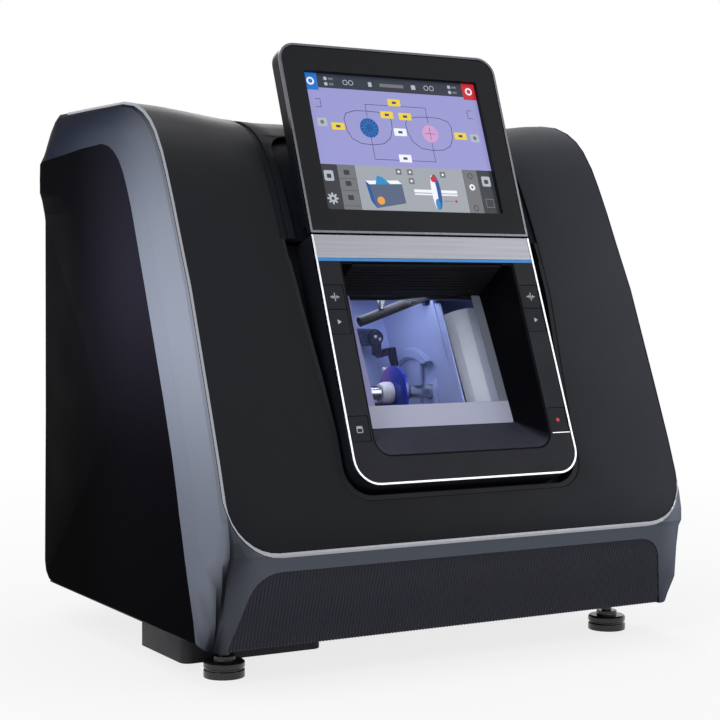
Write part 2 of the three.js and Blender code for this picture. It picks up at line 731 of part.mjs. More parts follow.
// Display on its hinge: silver edge, bezel, panel, back shell and hinge leaf
const displayTopHalf = consoleHalf + 1.9;
const displayHeight = 0.3732 * bodyHeight;
const displayBottom = 1;
const displayRadius = 19;
const displayThickness = 16;
const screenHalf = 0.1933 * width;
const screenLow = 25.7;
const screenHigh = displayHeight - 28.5;
const screenDepth = 5;
const bezelThickness = 3;
function displayOutline(inset) {
  const half = displayTopHalf - inset;
  const [low, high] = [displayBottom + inset, displayHeight - inset];
  const outline = roundedOutline(-half, half, low, high, 1, displayRadius - inset);
  const taper = (displayTopHalf - consoleHalf) / displayTopHalf / displayHeight;
  return outline.map(([x, z]) => [x * (1 - taper * (displayHeight - z)), z]);
}
const displayRing = prismY(displayOutline(0), -0.6, bezelThickness).subtract(
  prismY(displayOutline(2.4), -overrun, overrun),
);
addPart(displayGroup, "display_trim", displayRing, silver);
const screenHole = roundedOutline(-screenHalf, screenHalf, screenLow, screenHigh, 2, 2, 3);
const screenRim = roundedOutline(-screenHalf - 3, screenHalf + 3, screenLow - 3, screenHigh + 3, 4, 4, 3);
const bezel = prismY(displayOutline(2.4 + seat), 0, bezelThickness)
  .add(prismY(screenRim, 1, screenDepth))
  .subtract(prismY(screenHole, -1, overrun));
addPart(displayGroup, "display_bezel", bezel, charcoal);
const panelBottom = screenDepth + seat;
addPart(
  displayGroup,
  "display_panel",
  box([-screenHalf - 2, screenHalf + 2], [panelBottom, panelBottom + 4], [screenLow - 2, screenHigh + 2]),
  screenDark,
);
const coveDepth = hingeY - barrelRadius - 1.2;
const coveTop = hingeZ + barrelRadius + 1.2;
const displayShell = prismY(displayOutline(0), bezelThickness + seat, displayThickness)
  .subtract(
    prismY(displayOutline(4), 0, displayThickness - wall).intersect(
      box([-width, width], [-1, displayThickness], [coveTop + wall, farUp]),
    ),
  )
  .subtract(box([-width, width], [coveDepth, displayThickness + 1], [-1, coveTop]));
addPart(displayGroup, "display_housing", displayShell, charcoal);
const leaf = box(
  [-hingeHalf + 16, hingeHalf - 16],
  [displayThickness + seat, displayThickness + seat + 2.5],
  [hingeZ, hingeWindow - 2],
);
const barrel = rodX(-hingeHalf + 6, hingeHalf - 6, barrelRadius, hingeY, hingeZ);
const pinBore = rodX(-hingeHalf, hingeHalf, pinRadius + seat, hingeY, hingeZ, 16);
addPart(displayGroup, "display_hinge", barrel.add(leaf).subtract(pinBore), zinc);

const lugs = [-1, 1].map((side) => {
  const inner = hingeHalf - 4;
  const outer = hingeHalf + 6 - seat;
  return box(
    side > 0 ? [inner, outer] : [-outer, -inner],
    [13 + seat, hingeY + barrelRadius],
    [consoleTop - wall, hingeZ + barrelRadius],
  );
});
const pin = rodX(-hingeHalf - 2, hingeHalf + 2, pinRadius, hingeY, hingeZ, 16);
addPart(displayGroup, "hinge_pin", join(pin, ...lugs), zinc);

// Recess of the window: four slopes from the aperture back to the door
const doorLean = consoleLean + Math.atan2(recessDepthTop - recessDepthBottom, windowBottom - windowTop);
const doorFront = new THREE.Vector3(0, recessDepthBottom + 0.5, -windowBottom);
doorFront.applyMatrix4(consoleGroup.matrix);
const doorGroup = leaning(doorFront.y, doorFront.z, doorLean);
const fromDoor = (solid) => moved(solid, doorGroup.matrix);
function recessLoft(grow, past) {
  const frontRing = roundedOutline(
    -apertureHalf + 2 - grow, apertureHalf - 2 + grow, -apertureBottom + 2 - grow, -apertureTop - 2 + grow,
    apertureRadius - 2 + grow, 2, 6,
  );
  const rearRing = roundedOutline(
    -windowHalf - grow, windowHalf + grow, -windowBottom - grow, -windowTop + grow, 3 + grow, 2, 6,
  );
  const slope = (recessDepthTop - recessDepthBottom) / (windowBottom - windowTop);
  const ends = frontRing.map(([x, z], i) => {
    const [rearX, rearZ] = rearRing[i];
    const rear = new THREE.Vector3(rearX, recessDepthBottom + (rearZ + windowBottom) * slope, rearZ);
    const near = new THREE.Vector3(x, 1, z);
    return [near.clone().lerp(rear, -past), near.clone().lerp(rear, 1 + past)];
  });
  return loft([ends.map((p) => p[0]), ends.map((p) => p[1])], (p) => new THREE.Vector2(p.x, p.z));
}
const recess = recessLoft(2 - seat, 0).subtract(recessLoft(0, 0.1));
const visorHalf = windowHalf - 1;
const visorNotch = box([-visorHalf - seat, visorHalf + seat], [-1, depth], [-windowTop - 1.5, farUp]);
addPart(consoleGroup, "window_surround", recess.subtract(visorNotch), glossBlack);

// Ribbed visor that forms the ceiling of the recess
const visorRise = -apertureTop - 2 + windowTop;
const visorSlope = Math.atan2(visorRise, recessDepthTop - 3);
const visorLength = Math.hypot(visorRise, recessDepthTop - 4);
const visorThickness = 1.6;
const visorRib = 1;
const visorPitch = 4.4;
const visorLine = [];
for (let i = 0; i * visorPitch + visorPitch < visorLength - 6; i += 1) {
  const at = i * visorPitch + 3;
  const crest = at + visorPitch / 2;
  visorLine.push([at, 0], [crest, 0], [crest, visorRib], [at + visorPitch, visorRib]);
}
const visorProfile = [
  ...visorLine, [visorLength, visorRib], [visorLength, visorRib + visorThickness],
  [0, visorRib + visorThickness], [0, 0],
];
const visorGroup = new THREE.Group();
visorGroup.position.set(0, 2, -apertureTop - 3.2);
visorGroup.rotation.x = -visorSlope;
consoleGroup.add(visorGroup);
addPart(visorGroup, "visor", prismX(visorProfile, -visorHalf, visorHalf), matteBlack);

// Sliding door: frame and pane, behind the recess, and the rails that carry it
const doorBottom = -3;
const doorHeight = Math.hypot(recessDepthTop - recessDepthBottom, windowBottom - windowTop);
const doorTop = doorHeight + 3.5;
const paneHalf = windowHalf + 2;
const paneBottom = 0.5;
const paneTop = doorHeight + 0.5;
const paneThickness = 2.5;
const doorTravel = doorHeight - 1.5;
const railHalf = apertureHalf + 1.7;
const railTop = doorTop + doorTravel + 6;
const railBottom = doorBottom - 9;
const doorRing = box([-doorHalf, doorHalf], [0, doorThickness], [doorBottom, doorTop])
  .subtract(
    box([-paneHalf - seat, paneHalf + seat], [-1, paneThickness + seat], [paneBottom - seat, paneTop + seat]),
  )
  .subtract(box([-paneHalf + 4, paneHalf - 4], [-1, overrun], [paneBottom + 4, paneTop - 4]));
addPart(doorGroup, "door_frame", doorRing, charcoal);
addPart(doorGroup, "door_pane", box([-paneHalf, paneHalf], [0, paneThickness], [paneBottom, paneTop]), clear);
const railBack = doorThickness + runningGap;
const railEnd = railBack + wall;
const railInside = doorHalf + runningGap;
const railCut = box([-railInside, railInside], [-1, railBack], [doorBottom - runningGap - 1, railTop - 4]);
const railWindow = box([-paneHalf + 1, paneHalf - 1], [-1, overrun], [railBottom + 7, railTop - 8]);
const railBlock = box([-railHalf, railHalf], [0.5, railEnd], [railBottom, railTop]);
const rails = railBlock.subtract(railCut).subtract(railWindow);
addPart(doorGroup, "door_track", rails, zinc);

// Floor of the machine, sump and levelling feet
const footX = 0.4192 * width;
const footRearX = 0.2615 * width;
const footFrontY = -0.3136 * depth;
const footRearY = 0.2966 * depth;
const footRadius = 19;
const stemRadius = 5;
const panX = halfWidth - wall - seat;
const panFront = -0.36 * depth + seat;
const panBack = 0.44 * depth - seat;
const panPlate = box([-panX, panX], [panFront, panBack], [panLow, panTop]);
const panRib = (y) => box([-panX + overrun, panX - overrun], [y, y + wall], [panTop - 1, panTop + 6]);
const feet = [
  ["front_left_foot", -footX, footFrontY], ["front_right_foot", footX, footFrontY],
  ["rear_left_foot", -footRearX, footRearY], ["rear_right_foot", footRearX, footRearY],
];
let pan = join(panPlate, panRib(panFront + overrun), panRib(panBack - overrun));
for (const [, x, y] of feet) {
  pan = pan.add(rodZ(panTop - 1, panTop + 6, 2 * stemRadius, x, y));
  pan = pan.subtract(rodZ(panLow - 1, panTop + overrun, stemRadius + runningGap, x, y, 16));
}
addPart(machine, "base_pan", pan, zinc);

function turnedZ(profile, x, y, around = steps) {
  const points = profile.map(([radius, z]) => new THREE.Vector2(radius, z));
  const geometry = new THREE.LatheGeometry(points, around);
  geometry.rotateX(Math.PI / 2);
  geometry.translate(x, y, 0);
  return toSolid(geometry);
}
const footShares = [
  [0, 0], [1, 0], [1, 0.34], [0.93, 0.38], [0.93, 0.44], [1, 0.48], [1, 0.7], [0.92, 0.78],
  [0.55, 0.78], [0.55, 1.02], [0.263, 1.02], [0.263, 2.45], [0, 2.45],
];
const footProfile = footShares.map(([radius, z]) => [radius * footRadius, z * footRadius]);
for (const [name, x, y] of feet) {
  addPart(machine, name, turnedZ(footProfile, x, y, 20), glossBlack);
}

const sumpLow = 9;
const sumpLeft = -0.477 * width;
const sumpRight = -0.2 * width;
const sumpBack = -0.057 * depth;
const sumpFront = footFrontY + footRadius + 4;
const sumpRadius = 9;
const sumpOutline = (inset) =>
  roundedOutline(
    sumpLeft + inset, sumpRight - inset, sumpFront + inset, sumpBack - inset, sumpRadius - inset, 1, 4,
  );
const sumpBlock = prismZ(sumpOutline(0), sumpLow, panLow - seat);
const sumpHollow = prismZ(sumpOutline(wall), sumpLow + wall, panLow);
addPart(machine, "sump_tray", sumpBlock.subtract(sumpHollow), matteBlack);

// Chamber tub: closed box round the chucks with a window in its front wall and slots for the shafts
const tubFrontGap = railEnd + seat;
const onDoor = (y, z) => {
  const point = new THREE.Vector3(0, y, z).applyMatrix4(doorGroup.matrix);
  return [point.y, point.z];
};
const wheelLean = THREE.MathUtils.degToRad(24.8);
const wheelApart = wheelRadius + lensRadius + 6;
const wheelY = lensY + wheelApart * Math.sin(wheelLean);
const wheelZ = lensZ - wheelApart * Math.cos(wheelLean);
const tubTop = 0.6543 * bodyHeight;
const tubBottom = wheelZ - wheelRadius - 14;
const tubBack = wheelY + wheelRadius + 6;
const shelfFront = lensY + 48;
const shelfLow = wheelZ + wheelRadius + 4;
const shelfHigh = shelfLow + 10;
const tubLift = (y, z, top) => y + (top - z) * Math.tan(doorLean);
const [mouthY, mouthZ] = onDoor(tubFrontGap, -10);
const tubLine = (inset) => {
  const ceiling = tubTop - inset;
  const slant = inset / Math.cos(doorLean);
  return [
    [mouthY + 45 + inset, tubBottom + inset],
    [tubBack - inset, tubBottom + inset],
    [tubBack - inset, shelfLow - inset / 2],
    [shelfFront - inset, shelfHigh - inset / 2],
    [tubLift(shelfFront, shelfHigh, ceiling) - slant, ceiling],
    [tubLift(mouthY, mouthZ, ceiling) + slant, ceiling],
    [mouthY + slant, mouthZ],
  ];
};
const tubOuter = prismX(tubLine(0), -chamberLeft - wall, chamberRight + wall);
const tubInner = prismX(tubLine(wall), -chamberLeft, chamberRight);
const mouth = fromDoor(
  box([-paneHalf, paneHalf], [tubFrontGap - 2, tubFrontGap + 2 * wall], [paneBottom + 1, paneTop - 1]),
);
const shaftSlot = box(
  [-chamberLeft - overrun, chamberRight + overrun],
  [lensY - shaftRadius - 10, lensY + shaftRadius + 5],
  [lensZ - shaftRadius - 6, lensZ + shaftRadius + 21],
);
const spindleRadius = 6;
const spindleHole = rodX(chamberRight - 1, chamberRight + overrun, spindleRadius + 4, wheelY, wheelZ);
const feelerX = 0;
const feelerZ = lensZ + 54;
const bossRadius = 9;
const plateX = 0.3 * width;
const ceilingZ = tubTop - wall;
const nozzleRadius = 5.2;
const nozzleY = tubLift(mouthY, mouthZ, ceilingZ) + 14;
const nozzleNotch = box([0, chamberRight], [nozzleY - 7.5, nozzleY + 7.5], [ceilingZ - 15, ceilingZ]);
const tubFeet = [wheelY - 20, wheelY + 30].map((y) =>
  box([-plateX + 0.5, plateX - 0.5], [y, y + 14], [tubBottom - 12, tubBottom + 1]),
);
const clampWallLeft = 38;
const clampRingY = lensY + 27;
const clampRingZ = lensZ - 6;
const clampRingRadii = [[2.8, 48, 40], [1.6, 50, 38]];
const clampSlotRadius = shaftRadius + 5;
const clampReach = prismX(tubLine(wall / 2), 0, chamberRight);
const clampSide = clampReach.intersect(
  box([clampWallLeft, clampWallLeft + wall], [-depth, depth], [0, bodyHeight]),
);
const clampRings = clampRingRadii.map(([proud, outer, inner]) =>
  rodX(clampWallLeft - proud, clampWallLeft + 1, outer, clampRingY, clampRingZ, 48).subtract(
    rodX(clampWallLeft - 2 * proud, clampWallLeft + 2, inner, clampRingY, clampRingZ, 48),
  ),
);
const clampSlot = [0, 1, 2, 3, 4].map((step) => {
  const turn = THREE.MathUtils.degToRad(1.5 - 1.875 * step);
  const [y, z] = [lensY - carriageY, lensZ - carriageZ];
  const slotY = carriageY + y * Math.cos(turn) - z * Math.sin(turn);
  const slotZ = carriageZ + y * Math.sin(turn) + z * Math.cos(turn);
  return rodX(clampWallLeft - overrun, clampWallLeft + overrun, clampSlotRadius, slotY, slotZ);
});
const clampWall = join(clampSide, ...clampRings)
  .intersect(clampReach)
  .subtract(join(...clampSlot))
  .intersect(box([0, chamberRight], [-depth, depth], [shelfLow + 1, bodyHeight]));
const tub = join(tubOuter, ...tubFeet)
  .subtract(tubInner)
  .add(clampWall.subtract(nozzleNotch))
  .subtract(mouth)
  .subtract(shaftSlot)
  .subtract(spindleHole);
addPart(machine, "chamber_tub", tub, chamberBlue);

// Chassis plates on both sides of the tub, with the shaft that the carriage turns on
const plateThickness = 4;
const pivotRadius = 8;
const plateFront = lensY + 30;
const plateBack = carriageY + 56;
const plateLow = panTop + seat;
const plateLine = [
  [plateFront, plateLow], [plateBack, plateLow], [plateBack, carriageZ - 130],
  [carriageY + 30, carriageZ + 22], [carriageY - 34, carriageZ + 22], [plateFront, carriageZ - 180],
];
const pivotHole = rodX(-width, width, pivotRadius + seat, carriageY, carriageZ);
for (const [side, name] of [[-1, "left_chassis_plate"], [1, "right_chassis_plate"]]) {
  const near = side > 0 ? plateX : -plateX - plateThickness;
  const flange = [near - 4, near + plateThickness + 4];
  const foot = box(flange, [plateFront, plateBack], [plateLow, plateLow + 4.7]);
  const plate = prismX(plateLine, near, near + plateThickness).add(foot);
  addPart(machine, name, plate.subtract(pivotHole), zinc);
}
const pivotReach = plateX + plateThickness + 6;
addPart(machine, "pivot_shaft", rodX(-pivotReach, pivotReach, pivotRadius, carriageY, carriageZ), steel);

// Carriage: two arms on a tube, one with the bearing of the left shaft and one with that of the clamp quill
const armInner = chamberLeft + 8;
const armOuter = armInner + 16;
const armRadius = 15;
const quillRadius = 12;
const quillBoss = 19;
const tubeRadius = 15;
function armBetween(from, to, radius) {
  const angle = Math.atan2(carriageZ - lensZ, carriageY - lensY);
  const across = [-Math.sin(angle) * radius, Math.cos(angle) * radius];
  const outline = [
    [lensY - across[0], lensZ - across[1]], [carriageY - across[0], carriageZ - across[1]],
    [carriageY + across[0], carriageZ + across[1]], [lensY + across[0], lensZ + across[1]],
  ];
  return prismX(outline, from, to);
}
const yoke = join(
  armBetween(-armOuter, -armInner, 9),
  armBetween(armInner, armOuter, 9),
  rodX(-armOuter, -armInner, armRadius, lensY, lensZ),
  rodX(armInner, armOuter, quillBoss, lensY, lensZ),
  rodX(-armOuter, armOuter, tubeRadius, carriageY, carriageZ),
)
  .subtract(rodX(-width, 0, shaftRadius + runningGap, lensY, lensZ))
  .subtract(rodX(0, width, quillRadius + runningGap, lensY, lensZ))
  .subtract(rodX(-width, width, pivotRadius + runningGap, carriageY, carriageZ));
addPart(machine, "carriage_yoke", yoke, zinc);

// Lens between its adapter and the clamp pad, on two shafts with toothed pulleys
const shaftEnd = plateX - 6;
const pulleyRadius = 17;
const pulleyWidth = 8;
const adapterRadius = 11;
const lensHalf = 1.6;
const lensSag = 3.2;
const lensEdge = lensHalf + 0.4;
const chuckEnd = 14;
const leftShaft = turnedX(
  [
    [-shaftEnd, 0], [-shaftEnd, pulleyRadius], [-shaftEnd + pulleyWidth, pulleyRadius],
    [-shaftEnd + pulleyWidth, shaftRadius], [-chuckEnd - 4, shaftRadius], [-chuckEnd - 4, 0],
  ],
  lensY, lensZ,
);
addPart(machine, "left_chuck_shaft", leftShaft, steel);
const adapter = turnedX(
  [
    [-chuckEnd - 4 + seat, 0], [-chuckEnd - 4 + seat, adapterRadius - 2], [-chuckEnd + 2, adapterRadius],
    [-8, adapterRadius], [-8, adapterRadius - 1.5], [-6.5, adapterRadius - 1.5], [-6.5, adapterRadius],
    [-lensSag - lensHalf - seat, adapterRadius], [-lensSag - lensHalf - seat, 0],
  ],
  lensY, lensZ,
);
addPart(machine, "lens_adapter", adapter, white);
const lensSteps = 4;
const lensProfile = [];
for (let i = 0; i <= lensSteps; i += 1) {
  const share = i / lensSteps;
  lensProfile.push([-lensSag * (1 - share * share) - lensHalf, share * lensRadius]);
}
for (let i = lensSteps; i >= 0; i -= 1) {
  const share = i / lensSteps;
  lensProfile.push([-lensSag * (1 - share * share) + lensHalf, share * lensRadius]);
}
addPart(machine, "lens", turnedX(lensProfile, lensY, lensZ, 32), lensBlue);
const quillStart = chamberRight + 8;
const quillEnd = quillStart + 56;
const quill = rodX(quillStart, quillEnd, quillRadius, lensY, lensZ).subtract(
  rodX(quillStart - 1, quillEnd + 1, shaftRadius + runningGap, lensY, lensZ),
);
addPart(machine, "clamp_quill", quill, steel);
const rightShaft = turnedX(
  [
    [chuckEnd, 0], [chuckEnd, shaftRadius], [quillStart - 1.4, shaftRadius],
    [quillStart - 1.4, shaftRadius + 3],
    [quillStart - 0.4, shaftRadius + 3], [quillStart - 0.4, shaftRadius], [quillEnd + 0.4, shaftRadius],
    [quillEnd + 0.4, pulleyRadius], [quillEnd + 0.4 + pulleyWidth, pulleyRadius],
    [quillEnd + 0.4 + pulleyWidth, 0],
  ],
  lensY, lensZ,
);
addPart(machine, "right_chuck_shaft", rightShaft, steel);
const padRadius = 14;
const pad = turnedX(
  [
    [-lensSag + lensHalf + runningGap + 1, 0], [-lensSag + lensHalf + runningGap + 1, 8],
    [1.6, padRadius], [5.5, padRadius], [7.5, 10], [chuckEnd - seat, 10], [chuckEnd - seat, 0],
  ],
  lensY, lensZ,
);
addPart(machine, "clamp_pad", pad, matteBlack);

// Wheel spindle driven straight by its motor, with three wheels side by side
const wheelLeft = -16;
const roughWidth = 24;
const finishWidth = 18;
const polishWidth = 16;
const motorStart = chamberRight + 7;
const spindleEnd = motorStart + 37;
const finishLeft = wheelLeft + roughWidth + seat;
const polishLeft = finishLeft + finishWidth + seat;
const wheelEnd = polishLeft + polishWidth;
const spindle = turnedX(
  [
    [wheelLeft - 10, 0], [wheelLeft - 10, 9], [wheelLeft - 6, 13], [wheelLeft - seat, 13],
    [wheelLeft - seat, spindleRadius], [wheelEnd + seat, spindleRadius], [wheelEnd + seat, 13],
    [wheelEnd + 6, 13], [wheelEnd + 6, spindleRadius],
    [spindleEnd, spindleRadius], [spindleEnd, 0],
  ],
  wheelY, wheelZ,
);
addPart(machine, "wheel_spindle", spindle, steel);
const spindleBore = rodX(wheelLeft - 1, wheelEnd + 1, spindleRadius + seat, wheelY, wheelZ);
const groove = 3;
const wheelEdge = 1;
function wheel(from, to, grooved) {
  const middle = (from + to) / 2;
  const rim = grooved
    ? [[middle - groove, wheelRadius], [middle, wheelRadius - groove], [middle + groove, wheelRadius]]
    : [];
  const profile = [
    [from, 0], [from, wheelRadius - wheelEdge], [from + wheelEdge, wheelRadius], ...rim,
    [to - wheelEdge, wheelRadius], [to, wheelRadius - wheelEdge], [to, 0],
  ];
  return turnedX(profile, wheelY, wheelZ, 36).subtract(spindleBore);
}
addPart(machine, "roughing_wheel", wheel(wheelLeft, wheelLeft + roughWidth, false), abrasive);
addPart(machine, "finishing_wheel", wheel(finishLeft, finishLeft + finishWidth, true), abrasive);
addPart(machine, "polishing_wheel", wheel(polishLeft, wheelEnd, false), abrasive);

const motorRadius = 32;
const motorEnd = plateX - seat;
const motor = turnedX(
  [
    [motorStart, 0], [motorStart, 18], [motorStart + 4, 18], [motorStart + 4, motorRadius],
    [motorEnd, motorRadius], [motorEnd, 0],
  ],
  wheelY, wheelZ,
).subtract(rodX(motorStart - 1, spindleEnd + 2, spindleRadius + runningGap, wheelY, wheelZ));
addPart(machine, "wheel_motor", motor, zinc);

// Feeler on a boss of the back wall: crank arm with a round stylus
const bossBack = tubLift(shelfFront, shelfHigh, feelerZ) - wall / Math.cos(doorLean) - seat;
const armBack = lensY + 38;
const armThickness = 4;
const bossLow = feelerZ - 2 * bossRadius;
const bossHigh = feelerZ + 2 * bossRadius;
const bossCut = prismX(
  [
    [bossBack - 40, bossLow], [tubLift(bossBack, feelerZ, bossLow), bossLow],
    [tubLift(bossBack, feelerZ, bossHigh), bossHigh], [bossBack - 40, bossHigh],
  ],
  -bossRadius - 1, bossRadius + 1,
);
const bossBore = 4;
const bossRod = rodY(armBack + runningGap, bossBack + overrun, bossRadius, feelerX, feelerZ);
const bossLong = bossRod.intersect(bossCut);
const boss = bossLong.subtract(rodY(armBack - 1, armBack + 22, bossBore + runningGap, feelerX, feelerZ, 16));
addPart(machine, "feeler_boss", boss, zinc);
const feelerLine = [
  [-5.5, feelerZ], [-4, feelerZ - 17], [2, feelerZ - 21], [15, feelerZ - 18], [19, feelerZ - 30],
  [26, feelerZ - 29], [22, feelerZ - 10], [17, feelerZ - 10], [5, feelerZ - 12], [5.5, feelerZ],
];
const feelerArm = join(
  prismY(feelerLine, armBack - armThickness, armBack),
  rodY(armBack - armThickness - 1, armBack, 7, feelerX, feelerZ),
  rodY(armBack - 1, armBack + overrun, bossBore, feelerX, feelerZ, 16),
);
addPart(machine, "feeler_arm", feelerArm, steel);
const stylusRadius = 2.4;
const stylusZ = feelerZ - 30 - stylusRadius - seat;
const stylusY = armBack - armThickness / 2;
const stylus = rodX(8, 28, stylusRadius, stylusY, stylusZ, 12);
addPart(machine, "feeler_stylus", stylus, steel);

// Guard plate beside the right shaft, water nozzle and lamp under the chamber ceiling
const guardFront = 22;
const guardSheet = 2;
const guardShares = [[1, 0], [0.86, 0], [0.8, 0.18], [0.73, 0.5], [0.67, 1]];
const guardDepth = 16;
const guardReach = chamberRight - seat;
const guardOuter = guardShares.map(([x, y]) => [x * guardReach, guardFront + y * guardDepth]);
const guardInner = guardShares.map(([x, y], i) => [
  x * guardReach + (i === 0 ? 0 : 0.8),
  guardFront + y * guardDepth + (i === 4 ? 0.4 : guardSheet),
]);
const guardLine = [...guardOuter, ...guardInner.reverse()];
addPart(doorGroup, "wheel_guard", prismZ(guardLine, 4, doorHeight - 4), silver);
const nozzleTop = ceilingZ - 2 * seat - nozzleRadius;
const nozzlePath = new THREE.CatmullRomCurve3([
  new THREE.Vector3(-40, nozzleY, ceilingZ - 31),
  new THREE.Vector3(-4, nozzleY, ceilingZ - 19),
  new THREE.Vector3(32, nozzleY, ceilingZ - 7.5),
  new THREE.Vector3(44, nozzleY, nozzleTop),
  new THREE.Vector3(66, nozzleY, nozzleTop),
]);
const nozzleShape = new THREE.Shape();
nozzleShape.absarc(0, 0, nozzleRadius, 0, 2 * Math.PI);
const nozzleGeometry = new THREE.ExtrudeGeometry(nozzleShape, {
  steps: 12, curveSegments: 6, extrudePath: nozzlePath, bevelEnabled: false,
});
addPart(machine, "water_nozzle", toSolid(nozzleGeometry), matteBlack);
const lampX = -14;
const lampY = lensY + 22;
const lampRadius = 8;
addPart(machine, "chamber_lamp", rodZ(ceilingZ - seat - 9, ceilingZ - seat, lampRadius, lampX, lampY), white);

// The origin lies under the middle of the finished machine
const extent = new THREE.Box3().setFromObject(machine);
machine.position.y -= (extent.min.y + extent.max.y) / 2;

export default machine;
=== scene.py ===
import bpy
import bmesh
import json
import math
from mathutils import Matrix, Vector


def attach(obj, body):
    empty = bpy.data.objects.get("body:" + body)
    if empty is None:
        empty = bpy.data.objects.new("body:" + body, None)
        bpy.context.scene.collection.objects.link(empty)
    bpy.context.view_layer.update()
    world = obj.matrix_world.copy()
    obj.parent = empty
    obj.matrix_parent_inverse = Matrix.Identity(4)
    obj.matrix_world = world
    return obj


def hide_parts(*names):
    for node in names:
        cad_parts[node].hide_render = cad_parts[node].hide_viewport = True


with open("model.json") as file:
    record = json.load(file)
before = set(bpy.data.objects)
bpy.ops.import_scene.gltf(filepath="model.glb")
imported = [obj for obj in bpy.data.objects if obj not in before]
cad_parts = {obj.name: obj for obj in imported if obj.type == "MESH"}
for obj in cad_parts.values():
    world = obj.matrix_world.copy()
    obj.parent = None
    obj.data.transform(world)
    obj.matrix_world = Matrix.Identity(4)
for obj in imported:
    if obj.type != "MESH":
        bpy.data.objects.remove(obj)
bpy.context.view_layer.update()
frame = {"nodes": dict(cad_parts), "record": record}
nodes = frame["nodes"]
body_of_node = {n: b for b, names in frame["record"]["behaviour"]["bodies"].items() for n in names}
MM = 0.001
EVEN = (1, 1, 1)


# Shared helpers ------------------------------------------------------------
def add_node(tree, kind, **values):
    """A shader node with settings and plain inputs, whose names have _ for a space."""
    made = tree.nodes.new(kind)
    for key, value in values.items():
        if hasattr(made, key):
            setattr(made, key, value)
        else:
            made.inputs[key.replace("_", " ")].default_value = value
    return made


def add_object(name, data):
    """An object of the scene that holds the mesh, curve, lamp or camera."""
    made = bpy.data.objects.new(name, data)
    bpy.context.scene.collection.objects.link(made)
    return made


def mesh_of(name, bm):
    """The finished mesh of a bmesh, which is freed."""
    mesh = bpy.data.meshes.new(name)
    bm.to_mesh(mesh)
    bm.free()
    return mesh


def ring_faces(bm, near, far):
    """Faces all round between two rings of as many points."""
    for i in range(len(near)):
        j = (i + 1) % len(near)
        bm.faces.new((near[i], near[j], far[j], far[i]))


def ring_turns(count):
    return [2 * math.pi * i / count for i in range(count)]


